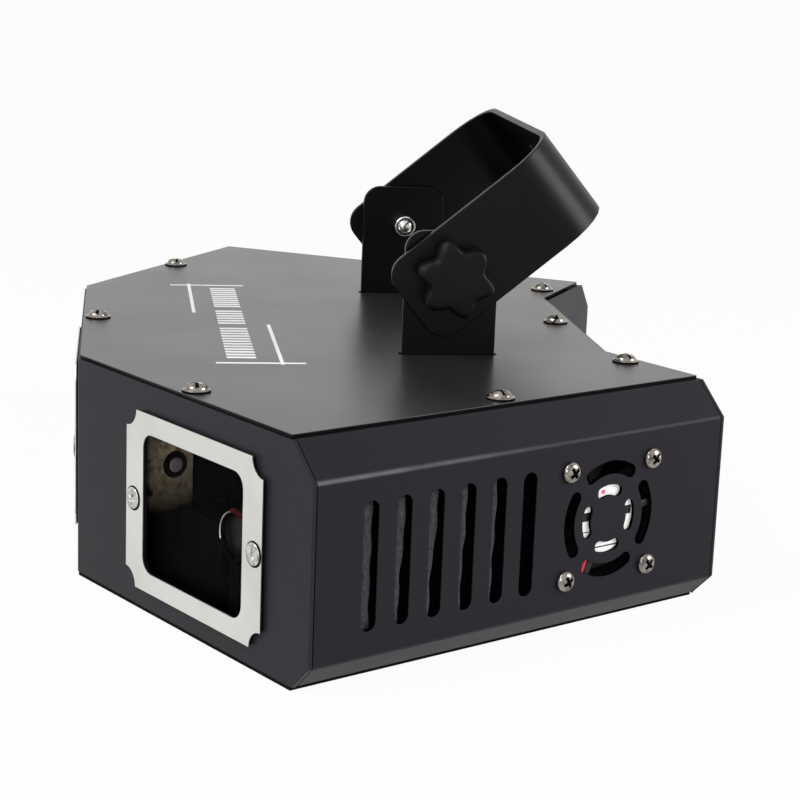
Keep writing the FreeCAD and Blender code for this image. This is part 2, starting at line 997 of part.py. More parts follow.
def flat_plate(outline, low):
    """A flat sheet lying at a level."""
    body = new_body()
    sketch = new_sketch(body, "XY_Plane")
    polygon(sketch, outline)
    pad(body, sketch, sheet_t)
    return put(body, (0, 0, low))


def countersunk(play_all_round):
    """A countersunk screw, or its hole when it is given some play, its head flush with z = 0."""
    cone = doc.addObject("Part::Cone", "Head")
    bind(cone, "Radius1", size("screw_radius") + sheet_t + play_all_round)
    bind(cone, "Radius2", size("screw_radius") + play_all_round)
    bind(cone, "Height", sheet_t)
    shank = rod((0, 0, 0), size("screw_radius") + play_all_round, size("sink_screw_length"))
    return fuse(cone, shank)


seam = size("seam")
base = flat_plate(plan_outline(seam, low_bevel + sheet_t, seam), as_size(0))
sinks = [put(countersunk(size("thread_play")), (x, y, 0)) for x, y in floor_spots]
node("base_plate", cut(base, *sinks))
copies("base_screws", countersunk(as_size(0)), [turned((x, y, 0)) for x, y in floor_spots])

cover = flat_plate(
    plan_outline(size("cover_front_inset"), top_bevel + size("cover_side_inset"),
                 size("cover_back_inset")),
    cover_under,
)
post_half = size("post_span") / 2
slot_play = size("post_slot_play")
slot_size = (size("post_sheet") + slot_play * 2, size("post_width") + slot_play * 2, sheet_t * 3)
slot_y = pivot_y - size("post_width") / 2 - slot_play
post_slots = [
    box((x, slot_y, cover_under - sheet_t), slot_size)
    for x in (post_half - size("post_sheet") - slot_play, -post_half - slot_play)
]
cover_holes = drills(cover_spots, cleared, cover_under - sheet_t, sheet_t * 3)
node("top_cover", cut(cover, *post_slots, *cover_holes))
copies("cover_screws", pan_screw(size("screw_length"), collar=True),
       [turned((x, y, body_height)) for x, y in cover_spots])


# Windows

def window_plate(thickness, lip, backwards=False):
    """A scooped plate with a rounded opening and two screw holes, about the window's middle."""
    body = new_body()
    sketch = new_sketch(body, "XZ_Plane")
    middle = (as_size(0), window_level)
    scooped_box(sketch, middle, size("frame_width") - lip * 2, frame_height - lip * 2,
                size("frame_scoop"))
    rounded_box(sketch, middle, opening_width + lip * 2, opening_height + lip * 2,
                size("opening_radius"))
    for side in (-1, 1):
        circle(sketch, (frame_screw_half * side, window_level), cleared)
    pad(body, sketch, thickness, backwards=backwards)
    return body


def window_glass():
    """A pane behind the panel, lapping its opening."""
    lap = size("glass_lap")
    width = opening_width + lap * 2
    height = opening_height + lap * 2
    low = window_level - height / 2
    screw_clear = size("screw_radius") * 2
    pane = box((-width / 2, 0, low), (width, size("glass_sheet"), height))
    notches = []
    for side in (-1, 1):
        at = frame_screw_half * side
        through = size("glass_sheet") + OVER * 2
        notches.append(rod((at, -OVER, window_level), screw_clear, through, "y"))
    return cut(pane, *notches)


gaskets = []
frame_screw_places = []
for head in heads:
    frame = window_plate(size("frame_sheet"), as_size(0))
    node(f"{head.name}_window_frame", head.put(frame, -size("gasket_sheet")))
    gaskets.append(head.put(window_plate(size("gasket_sheet"), size("gasket_lip"))))
    node(f"{head.name}_window_glass", head.put(window_glass(), sheet_t))
    for side in (-1, 1):
        x, y = head.point(frame_screw_half * side, -frame_proud)
        frame_screw_places.append(turned((x, y, window_level), (Z, head.degrees()), (X, 90)))
group("window_gaskets", gaskets)
copies("frame_screws", low_screw(size("short_screw_length")), frame_screw_places)


# Vents and fans

def on_side(piece, along, level):
    """Stand a piece that was made about x = 0, its outer face, on the right side."""
    x, y = from_side(along, as_size(0))
    return put(piece, (x, y, level), Z, angle)


def vent_filter():
    """Foam sheet on the inside of the wall, behind the vent slots."""
    lap = size("filter_lap")
    length = slot_pitch * 5 + size("slot_width") + lap * 2
    height = slot_height + lap * 2
    start = -size("slot_width") / 2 - lap
    inner = -(sheet_t + size("filter_sheet"))
    pane = box((inner, start, -height / 2), (size("filter_sheet"), length, height))
    holder = doc.addObject("Part::Compound", "Filter")
    holder.Links = [pane]
    return on_side(holder, size("slot_first"), vent_z)


stator_end = sheet_t + size("stator_sheet")
fan_end = sheet_t + size("fan_depth")
rotor_front = stator_end + size("blade_gap")
rotor_back = fan_end - size("blade_gap")
rotor_radius = size("fan_hub") - size("blade_gap") / 2


# Where the fan's struts stand, turned from straight down about the fan's axis
STRUT_TURNS = (-22, 98, 218)
BLADES = 7


def spun(piece, degrees):
    """A piece turned about the fan's axis."""
    holder = doc.addObject("Part::Compound", "Spun")
    holder.Links = [piece]
    return put(holder, (0, 0, 0), X, degrees)


def fan_frame():
    """The fan's square housing with its struts, its motor plate and its bearing tube."""
    span = size("fan_size")
    shell = box((-fan_end, -span / 2, -span / 2), (size("fan_depth"), span, span))
    through = size("fan_depth") + OVER * 2
    bore = rod((-fan_end - OVER, 0, 0), size("fan_bore"), through, "x")
    holes = [rod((-fan_end - OVER, a, b), tapped, through, "x") for a, b in fan_corners()]
    shell = cut(shell, bore, *holes)
    plate_disc = rod((-stator_end, 0, 0), size("fan_hub"), size("stator_sheet"), "x")
    width = size("strut_width")
    reach = size("fan_bore") + OVER
    struts = []
    for degrees in STRUT_TURNS:
        bar = box((-stator_end, -width / 2, -reach), (size("stator_sheet"), width, reach))
        struts.append(spun(bar, degrees))
    tube_length = rotor_back - size("hub_wall") - size("blade_gap") - stator_end
    tube_end = -stator_end - tube_length
    tube = rod((tube_end, 0, 0), size("bearing_radius"), tube_length + size("stator_sheet") / 2, "x")
    bearing = size("shaft_radius") + size("shaft_play")
    shaft_hole = rod((tube_end - OVER, 0, 0), bearing, tube_length + OVER, "x")
    solid = cut(fuse(shell, plate_disc, *struts, tube), shaft_hole)
    return on_side(solid, fan_along, vent_z)


def fan_rotor():
    """The fan's cup, shaft and blades."""
    length = rotor_back - rotor_front
    cup = rod((-rotor_back, 0, 0), rotor_radius, length, "x")
    hollow = rod((-rotor_back + size("hub_wall"), 0, 0), rotor_radius - size("hub_wall"), length, "x")
    shaft = rod((-rotor_back, 0, 0), size("shaft_radius"), length - size("blade_gap"), "x")
    chord = size("blade_chord")
    thick = size("blade_sheet")
    root = size("hub_wall") / 2
    reach = size("fan_bore") - size("blade_gap") - rotor_radius + root
    middle = -(rotor_front + rotor_back) / 2
    blades = []
    for step in range(BLADES):
        bar = box((-chord / 2, -thick / 2, 0), (chord, thick, reach))
        holder = doc.addObject("Part::Compound", "Blade")
        holder.Links = [bar]
        put(holder, (middle, 0, rotor_radius - root), Z, size("blade_pitch"))
        blades.append(spun(holder, 360 / BLADES * step))
    return on_side(fuse(cut(cup, hollow), shaft, *blades), fan_along, vent_z)


def fan_lead():
    """The red lead that lies beside a strut, from the motor plate to the housing."""
    radius = size("lead_radius")
    length = size("fan_bore") - size("fan_hub") - radius
    beside = size("strut_width") / 2 + radius
    wire = rod((-sheet_t - radius, -beside, radius - size("fan_bore")), radius, length)
    return on_side(spun(spun(wire, STRUT_TURNS[0]), 0), fan_along, vent_z)


right_filter = node("right_vent_filter", vent_filter())
right_frame = node("right_fan_frame", fan_frame())
right_rotor = node("right_fan_rotor", fan_rotor())
node("left_vent_filter", mirrored(right_filter))
node("left_fan_frame", mirrored(right_frame))
node("left_fan_rotor", mirrored(right_rotor))
node("right_fan_lead", fan_lead())

fan_screw_places = []
for along, up in fan_corners():
    x, y = from_side(fan_along + along, as_size(0))
    fan_screw_places.append(turned((x, y, vent_z + up), (Z, angle), (Y, 90)))
    fan_screw_places.append(turned((-x, y, vent_z + up), (Z, -angle), (Y, -90)))
copies("fan_screws", pan_screw(size("screw_length")), fan_screw_places)


# Posts, yoke and knobs

# How near an edge must be to a place to count as there
NEAR = 0.01

post_top = pivot_z + size("post_rise")
stud_hole = size("stud_radius") + size("stud_play")


def post_bracket():
    """The two posts and the web that joins them on the base."""
    wall = size("post_sheet")
    body = new_body()
    sketch = new_sketch(body, "XZ_Plane")
    polygon(sketch, [
        (-post_half, base_top), (post_half, base_top), (post_half, post_top),
        (post_half - wall, post_top), (post_half - wall, base_top + wall),
        (wall - post_half, base_top + wall), (wall - post_half, post_top), (-post_half, post_top),
    ])
    pad(body, sketch, size("post_width"), side="Symmetric")
    top = post_top.number

    def at_top(edge):
        return runs_along(edge, X) and abs(edge.CenterOfMass.z - top) < NEAR

    round_edges(body, at_top, size("post_corner"))
    hole = new_sketch(body, "YZ_Plane")
    circle(hole, (as_size(0), pivot_z), stud_hole)
    pocket(body, hole)
    return cut(put(body, (0, pivot_y, 0)), *tapping)


arm_in = post_half + size("friction_sheet") + size("slip_gap")
arm_out = arm_in + size("yoke_sheet")


def yoke():
    """The hanging bracket: two arms and a strap, with its pivot at the origin and its strap along +y."""
    wall = size("yoke_sheet")
    reach = size("yoke_reach")
    heel = -size("yoke_heel")
    body = new_body()
    sketch = new_sketch(body, "XY_Plane")
    polygon(sketch, [
        (-arm_out, heel), (-arm_in, heel), (-arm_in, reach - wall), (arm_in, reach - wall),
        (arm_in, heel), (arm_out, heel), (arm_out, reach), (-arm_out, reach),
    ])
    pad(body, sketch, size("yoke_width"), side="Symmetric")

    def at_bend(edge, x, y):
        middle = edge.CenterOfMass
        close = abs(abs(middle.x) - x.number) < NEAR and abs(middle.y - y.number) < NEAR
        return runs_along(edge, Z) and close

    def at_heel(edge):
        return runs_along(edge, X) and abs(edge.CenterOfMass.y - heel.number) < NEAR

    round_edges(body, lambda edge: at_bend(edge, arm_out, reach), size("yoke_bend"))
    round_edges(body, lambda edge: at_bend(edge, arm_in, reach - wall), size("yoke_bend") - wall)
    round_edges(body, at_heel, size("yoke_corner"))
    pivot = new_sketch(body, "YZ_Plane")
    circle(pivot, (as_size(0), as_size(0)), stud_hole)
    pocket(body, pivot)
    hanging = new_sketch(body, "XZ_Plane")
    circle(hanging, (as_size(0), as_size(0)), size("hanging_hole"))
    pocket(body, hanging)
    return put(body, (0, pivot_y, pivot_z), X, size("yoke_tilt"))


def pivot_ring(start, thickness, outer, inner):
    """A ring about the pivot, on the right."""
    ring = rod((start, pivot_y, pivot_z), outer, thickness, "x")
    return cut(ring, rod((start - OVER, pivot_y, pivot_z), inner, thickness + OVER * 2, "x"))


washer_start = arm_out + size("slip_gap")
knob_start = washer_start + size("washer_sheet") + size("slip_gap")
nut_start = post_half - size("post_sheet") - size("nut_length")


def knob():
    """A six-lobe knob with its threaded stud."""
    body = new_body()
    sketch = new_sketch(body, "YZ_Plane")
    circle(sketch, (as_size(0), as_size(0)), size("knob_radius"))
    pad(body, sketch, size("knob_depth"))
    scoops = new_sketch(body, "YZ_Plane")
    reach = size("knob_valley") + size("knob_valley_radius")
    for step in range(6):
        aim = size("knob_turn") + 60 * step + 30
        circle(scoops, (reach * cosine(aim), reach * sine(aim)), size("knob_valley_radius"))
    pocket(body, scoops)
    round_edges(body, lambda edge: runs_along(edge, X), size("knob_lobe_round"))
    depth = size("knob_depth").number
    round_edges(body, lambda edge: edge.BoundBox.XMin > depth - NEAR, size("knob_edge"))
    stud_length = knob_start - nut_start - size("stud_end_recess")
    stud = rod((-stud_length, 0, 0), size("stud_radius"), stud_length + size("knob_depth") / 2, "x")
    return put(fuse(body, stud), (knob_start, pivot_y, pivot_z))


node("post_bracket", post_bracket())
node("yoke", yoke())
friction = pivot_ring(post_half, size("friction_sheet"), size("friction_radius"), stud_hole)
group("friction_washers", [friction, mirrored(friction)])
threaded = size("stud_radius") + size("thread_play")
nut = pivot_ring(nut_start, size("nut_length"), size("nut_radius"), threaded)
group("pivot_nuts", [nut, mirrored(nut)])
washer = pivot_ring(washer_start, size("washer_sheet"), size("washer_radius"), stud_hole)
right_washer = node("right_knob_washer", washer)
node("left_knob_washer", mirrored(right_washer))
right_knob = node("right_knob", knob())
node("left_knob", mirrored(right_knob))


# Optical heads

optic_y = size("optics_setback")
beam = size("beam_level")
exit_level = window_level
plate_t = size("plate_sheet")
rear_wall = size("head_back") - plate_t
right_wall = size("head_right") - plate_t
boss_hole = size("boss_radius") + size("boss_play")


def scanner_bracket():
    """The folded plate that carries both scanner motors: a foot, a left, a rear and a right wall."""
    left = -size("head_left")
    front = size("head_front")
    width = size("head_left") + size("head_right")
    depth = size("head_back") - front
    tall = plate_height - base_top
    foot = box((left, front, base_top), (width, depth, plate_t))
    left_wall = box((left, front, base_top), (plate_t, depth, tall))
    nose_low = size("plate_nose_level")
    nose = size("plate_nose")
    left_nose = box((left, front - nose, nose_low), (plate_t, nose, plate_height - nose_low))
    rear = box((left, rear_wall, base_top), (width, plate_t, size("rear_wall_height")))
    right = box((right_wall, front, base_top), (plate_t, depth, size("right_wall_height")))
    through = plate_t + OVER * 2
    x_hole = rod((0, rear_wall - OVER, beam), boss_hole, through, "y")
    y_hole = rod((right_wall - OVER, optic_y, exit_level), boss_hole, through, "x")
    return fuse(foot, left_wall, left_nose, rear, right), (x_hole, y_hole)


def scanner_motor(axis):
    """A scanner motor along +x or +y from its mounting face at the origin, its boss pointing back."""
    length = size("motor_length")
    can = rod((0, 0, 0), size("motor_radius"), length, axis)
    start = (-plate_t, 0, 0) if axis == "x" else (0, -plate_t, 0)
    boss = rod(start, size("boss_radius"), plate_t + OVER, axis)
    bearing = size("shaft_radius") + size("shaft_play")
    bore = rod(start, bearing, plate_t + size("axle_depth") + OVER, axis)
    return cut(fuse(can, boss), bore)


def mirror_piece(axis, tilt, level, wall):
    """A mirror on its axle, made at the head's optical centre."""
    width = size("mirror_width")
    length = size("mirror_length")
    thick = size("mirror_sheet")
    if axis == "x":
        pane = box((-length / 2, -width / 2, -thick / 2), (length, width, thick))
        reach = wall + length / 2 + size("axle_depth")
        axle = rod((-length / 2, optic_y, level), size("shaft_radius"), reach, "x")
    else:
        pane = box((-width / 2, -length / 2, -thick / 2), (width, length, thick))
        start = optic_y - length / 2
        axle = rod((0, start, level), size("shaft_radius"), wall - start + size("axle_depth"), "y")
    holder = doc.addObject("Part::Compound", "Mirror")
    holder.Links = [pane]
    put(holder, (0, optic_y, level), X if axis == "x" else Y, tilt)
    return fuse(holder, axle)


def laser_module():
    """The laser's block with its lens barrel and its cooling fins."""
    length = size("laser_length")
    width = size("laser_width")
    low = base_top + plate_t
    start = -size("head_left") + plate_t + size("fin_depth") + size("fit_play")
    near = optic_y - width / 2
    block = box((start, near, low), (length, width, size("laser_height")))
    lens = start + length
    barrel = rod((lens - OVER, optic_y, beam), size("lens_radius"), size("lens_length") + OVER, "x")
    hollow = lens + size("lens_length") - size("lens_recess")
    bore = rod((hollow, optic_y, beam), size("lens_radius") - size("lens_rim"), size("lens_length"), "x")
    count = int(size("fin_count").number)
    fin = (size("fin_depth") + OVER, size("fin_sheet"), size("laser_height"))
    fins = []
    for step in range(count):
        along = near + (width - size("fin_sheet")) / (count - 1) * step
        fins.append(box((start - size("fin_depth"), along, low), fin))
    return cut(fuse(block, barrel, *fins), bore)


for head in heads:
    shell, holes = scanner_bracket()
    tapped_foot = drills(foot_spots, tapped, 0, base_top + plate_t + OVER)
    node(f"{head.name}_scanner_bracket", head.put(cut(shell, *holes, *tapped_foot)))
    x_motor = put(scanner_motor("y"), (0, size("head_back"), beam))
    y_motor = put(scanner_motor("x"), (size("head_right"), optic_y, exit_level))
    motors = doc.addObject("Part::Compound", "Motors")
    motors.Links = [x_motor, y_motor]
    node(f"{head.name}_scanner_motors", head.put(motors))
    node(f"{head.name}_x_mirror", head.put(mirror_piece("y", -45, beam, rear_wall)))
    node(f"{head.name}_y_mirror", head.put(mirror_piece("x", 135, exit_level, right_wall)))
    node(f"{head.name}_laser_module", head.put(laser_module()))


# Boards

def board(components):
    """A board on four feet, standing on the base beside the right fan, with blocks soldered on it.

    Each block is its place across and along the board, its two widths as shares of the
    board's, and its height in board heights.
    """
    length = size("board_length")
    width = board_width
    low = base_top + size("standoff_height")
    inset = size("standoff_inset")
    slab = box((-width, 0, low), (width, length, size("board_sheet")))
    feet = [
        rod((-across, along, base_top), size("standoff_radius"), size("standoff_height"))
        for across in (inset, width - inset)
        for along in (inset, length - inset)
    ]
    blocks = []
    for across, along, wide, deep, tall in components:
        x = -width * (across + wide / 2)
        y = length * (along - deep / 2)
        at = (x, y, low + size("board_sheet"))
        blocks.append(box(at, (width * wide, length * deep, size("standoff_height") * tall)))
    solid = fuse(slab, *feet, *blocks)
    x, y = from_side(board_along, size("board_inward"))
    return put(solid, (x, y, 0), Z, angle)


node("power_supply", board([
    (0.5, 0.5, 0.55, 0.3, 3.2),
    (0.3, 0.18, 0.3, 0.2, 3.6),
    (0.75, 0.2, 0.25, 0.2, 2.4),
    (0.5, 0.85, 0.7, 0.12, 2),
]))
node("control_board", mirrored(board([
    (0.5, 0.5, 0.4, 0.28, 0.5),
    (0.2, 0.2, 0.2, 0.25, 1.2),
    (0.8, 0.22, 0.2, 0.22, 1.4),
    (0.5, 0.88, 0.8, 0.1, 1.5),
])))


# Back panel fittings

def trim_box(across, level, width, height, proud):
    """A square flange on the outside of the recessed back."""
    return box((across - width / 2, recess_y, level - height / 2), (width, proud, height))


def sunk_box(across, level, width, height, top, depth):
    """A block that goes in from a depth measured outward from the recessed back."""
    return box((across - width / 2, recess_y + top - depth, level - height / 2), (width, depth, height))


lip = size("trim_lip")
trim = size("trim_sheet")


def power_inlet():
    """The mains inlet: a flange, a body and three blades in its mouth."""
    width = size("inlet_width")
    height = size("inlet_height")
    level = inlet_level
    flange = trim_box(inlet_x, level, width + lip * 2, height + lip * 2, trim)
    shell = sunk_box(inlet_x, level, width - play * 2, height - play * 2, as_size(0), size("inlet_depth"))
    mouth_depth = size("inlet_mouth")
    mouth = sunk_box(inlet_x, level, width - lip * 2, height - lip * 2, trim, mouth_depth + trim)
    across = size("inlet_pole_across")
    places = (
        (inlet_x - across, level - size("inlet_pole_down")),
        (inlet_x, level + size("inlet_pole_up")),
        (inlet_x + across, level - size("inlet_pole_down")),
    )
    blades = []
    for x, z in places:
        blades.append(sunk_box(x, z, lip, lip * 2, -size("inlet_pole_setback"), mouth_depth))
    return fuse(cut(fuse(flange, shell), mouth), *blades)


def data_socket(across, male):
    """A round three-pole socket on a square flange."""
    level = socket_level
    depth = size("socket_depth")
    mouth_depth = size("mouth_depth")
    flange = trim_box(across, level, size("socket_width"), size("socket_height"), trim)
    shell = rod((across, recess_y - depth, level), size("socket_radius") - play, depth + trim / 2, "y")
    floor = recess_y + trim - mouth_depth
    mouth = rod((across, floor, level), size("mouth_radius"), mouth_depth + OVER, "y")
    holes = []
    for hole_x, hole_level in socket_screws:
        holes.append(rod((hole_x, recess_y - OVER, hole_level), cleared, trim + OVER * 2, "y"))
    solid = cut(fuse(flange, shell), mouth, *holes)
    poles = []
    for degrees in (0, 180, 270):
        x = across + size("pin_circle") * cosine(as_size(degrees))
        z = level + size("pin_circle") * sine(as_size(degrees))
        grown = as_size(0) if male else play
        start = floor - size("pin_setback") if male else floor
        poles.append(rod((x, start, z), size("pin_radius") + grown, mouth_depth, "y"))
    if male:
        return fuse(solid, *poles)
    insert_radius = size("mouth_radius") - lip
    insert = rod((across, floor - size("insert_setback"), level), insert_radius, mouth_depth, "y")
    return cut(fuse(solid, insert), *poles)


rocker_level = recess_y + trim / 2
cavity_width = size("switch_width") - play * 2 - lip
cavity_height = size("switch_height") - play * 2 - lip


def power_switch():
    """The switch's housing with the pin that its rocker turns on."""
    width = size("switch_width")
    height = size("switch_height")
    flange = trim_box(switch_x, upper, width + lip * 2, height + lip * 2, trim)
    shell = sunk_box(switch_x, upper, width - play * 2, height - play * 2, as_size(0), size("switch_depth"))
    cavity = sunk_box(switch_x, upper, cavity_width, cavity_height, trim, size("switch_depth") / 2 + trim)
    start = switch_x - width / 2 + play * 2
    axle = rod((start, rocker_level, upper), size("shaft_radius"), width - play * 4, "x")
    return fuse(cut(fuse(flange, shell), cavity), axle)


def switch_rocker():
    """The rocker, hollow at its pin, tilted to its off side."""
    half = cavity_height / 2 - size("rocker_play")
    width = cavity_width - size("rocker_play") * 2
    proud = size("rocker_proud")
    body = new_body()
    sketch = new_sketch(body, "YZ_Plane")
    polygon(sketch, [
        (-proud, -size("rocker_keel")), (-proud, size("rocker_keel")), (as_size(0), half),
        (proud, half), (proud / 2, as_size(0)), (proud, -half), (as_size(0), -half),
    ])
    circle(sketch, (as_size(0), as_size(0)), size("shaft_radius") + size("shaft_play"))
    pad(body, sketch, width, side="Symmetric")
    return put(body, (switch_x, rocker_level, upper), X, size("rocker_tilt"))


def display_board():
    """The display on its board, with a switch under each button."""
    inner = recess_y - sheet_t
    board_y = recess_y - size("board_back") - size("board_sheet")
    margin = size("tact_width")
    low_x = display_x - size("display_width") / 2 - play * 4
    high_x = button_xs[-1] + margin
    height = size("display_height") + play * 8
    slab = box((low_x, board_y, upper - height / 2), (high_x - low_x, size("board_sheet"), height))
    face = recess_y - play - board_y
    block = box((display_x - size("display_width") / 2, board_y, upper - size("display_height") / 2),
                (size("display_width"), face, size("display_height")))
    tact_top = inner - size("slip_gap") - size("button_lip") - size("button_gap")
    tacts = []
    for x in button_xs:
        at = (x - margin / 2, board_y, upper - margin / 2)
        tacts.append(box(at, (margin, tact_top - board_y, margin)))
    foot_x = (display_x + size("display_width") / 2 + button_xs[0]) / 2
    foot_up = size("display_foot_up")
    foot = size("shaft_radius")
    feet = [rod((foot_x, board_y, upper + foot_up * side), foot, inner - board_y, "y") for side in (-1, 1)]
    return fuse(slab, block, *tacts, *feet)


def button(x):
    """A push button: a cap through the panel and the collar that keeps it in."""
    inner = recess_y - sheet_t - size("slip_gap")
    collar = size("button_lip")
    radius = size("button_radius")
    length = collar + size("slip_gap") + sheet_t + size("button_proud")
    cap = rod((x, inner - collar, upper), radius, length, "y")
    ring = rod((x, inner - collar, upper), radius + size("button_lip"), collar, "y")
    return fuse(cap, ring)


node("power_inlet", power_inlet())
node("power_switch", power_switch())
node("switch_rocker", switch_rocker())
node("dmx_input", data_socket(size("input_across"), male=True))
node("dmx_output", data_socket(size("output_across"), male=False))
copies("socket_screws", pan_screw(size("short_screw_length")),
       [turned((x, recess_y + trim, level), (X, -90)) for x, level in socket_screws])
node("display_board", display_board())
for button_name, button_x in zip(("menu", "down", "up", "enter"), button_xs):
    node(f"{button_name}_button", button(button_x))


# Check and write

doc.recompute()
for thing in doc.Objects:
    if "Invalid" in thing.State or "Error" in thing.State:
        raise RuntimeError(f"{thing.Name} ({thing.Label}) did not build")
for piece in nodes:
    if piece.Shape.isNull() or not piece.Shape.isValid() or not piece.Shape.Solids:
        raise RuntimeError(f"{piece.Label} has no valid solid")

os.makedirs("parts", exist_ok=True)
for piece in nodes:
    piece.Shape.exportStep(f"parts/{piece.Label}.step")
    print(piece.Label, len(piece.Shape.Solids), round(piece.Shape.Volume, 1))
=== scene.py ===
"""Laser show projector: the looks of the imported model.

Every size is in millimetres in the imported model's frame: +X to the object's right, the middle
window faces -Y, +Z up, and the base stands on z = 0.
"""
import json
import logging
from dataclasses import dataclass, field, replace
from enum import Enum
from math import atan2, cos, exp, pi, radians, sin, sqrt, tan
from typing import Callable, Iterable, Sequence

import bmesh
import bpy
from mathutils import Matrix, Vector

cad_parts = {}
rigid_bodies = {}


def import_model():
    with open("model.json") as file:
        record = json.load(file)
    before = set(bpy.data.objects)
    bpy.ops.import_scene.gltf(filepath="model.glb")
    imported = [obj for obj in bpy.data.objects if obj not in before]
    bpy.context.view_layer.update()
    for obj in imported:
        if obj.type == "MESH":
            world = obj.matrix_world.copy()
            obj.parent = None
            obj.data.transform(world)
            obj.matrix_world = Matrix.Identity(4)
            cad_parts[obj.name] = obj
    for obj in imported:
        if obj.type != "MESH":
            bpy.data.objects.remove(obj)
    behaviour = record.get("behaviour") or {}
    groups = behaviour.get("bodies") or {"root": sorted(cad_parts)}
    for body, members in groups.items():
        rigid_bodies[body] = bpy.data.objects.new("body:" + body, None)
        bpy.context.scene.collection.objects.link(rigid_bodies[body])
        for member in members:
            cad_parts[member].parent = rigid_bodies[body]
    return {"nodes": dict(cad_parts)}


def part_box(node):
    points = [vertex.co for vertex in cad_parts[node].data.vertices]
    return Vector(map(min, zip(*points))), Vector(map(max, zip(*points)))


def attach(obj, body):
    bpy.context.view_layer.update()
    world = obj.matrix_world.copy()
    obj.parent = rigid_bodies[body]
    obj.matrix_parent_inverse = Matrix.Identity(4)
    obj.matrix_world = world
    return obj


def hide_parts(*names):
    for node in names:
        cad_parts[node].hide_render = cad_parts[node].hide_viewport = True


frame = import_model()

log = logging.getLogger("projector")
MM = 0.001
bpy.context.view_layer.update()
X = Vector((1, 0, 0))
Y = Vector((0, 1, 0))
Z = Vector((0, 0, 1))
Mesh = bmesh.types.BMesh
Piece = bpy.types.Object
Tree = bpy.types.NodeTree
Node = bpy.types.Node
Socket = bpy.types.NodeSocket
Two = tuple[float, float]
Three = tuple[float, float, float]
Four = tuple[float, float, float, float]
Points = list[Two]
Pairs = tuple[Two, ...]
ops = bmesh.ops


class Shade(Enum):
    """How a piece's edges take the light."""

    SOFT = 60
    CRISP = 35


# Small helpers

def vec(*values: float) -> Vector:
    """A point given in millimetres, in metres."""
    return Vector(values) * MM


def move(*values: float) -> Matrix:
    """A shift given in millimetres."""
    return Matrix.Translation(vec(*values))


def turn(degrees: float, axis: str) -> Matrix:
    """A turn about one axis."""
    return Matrix.Rotation(radians(degrees), 4, axis)


MIRROR = Matrix.Scale(-1, 4, X)


def linear(code: str) -> Four:
    """Turn an sRGB hex colour into linear values.

    Args:
        code: Six hex digits.

    Returns:
        Linear red, green and blue, and a full alpha.
    """
    parts = [int(code[i:i + 2], 16) / 255 for i in (0, 2, 4)]
    red, green, blue = [p / 12.92 if p <= 0.04045 else ((p + 0.055) / 1.055) ** 2.4 for p in parts]
    return (red, green, blue, 1.0)


def add_node(tree: Tree, kind: str, settings: dict | None = None, links: dict | None = None) -> Node:
    """Add a shader node with its settings and links.

    Args:
        tree: The node tree it goes into.
        kind: The node's type name, without what all have in front.
        settings: Values of its inputs or of its own properties.
        links: What joins its inputs, by input name or number: a socket, or a node's first output.

    Returns:
        The new node.
    """
    made = tree.nodes.new(f"ShaderNode{kind}")
    for name, value in (settings or {}).items():
        if isinstance(name, str) and hasattr(made, name):
            setattr(made, name, value)
        else:
            made.inputs[name].default_value = value
    for name, source in (links or {}).items():
        tree.links.new(getattr(source, "outputs", [source])[0], made.inputs[name])
    return made


# Finishes

# Near-black of the painted shade in the finishes below, and of plain black parts.
DEAD_BLACK = "020202"


class Grain(Enum):
    """The pattern that stands out of a surface."""

    NOISE = "TexNoise"
    CELLS = "TexVoronoi"


@dataclass
class Mix:
    """A material's nodes, its main shader and the place of the shaded point."""

    tree: Tree
    shader: Node
    place: Socket

    def feed(self, socket: Socket, name: str) -> None:
        """Join a socket to an input of the main shader."""
        self.tree.links.new(socket, self.shader.inputs[name])


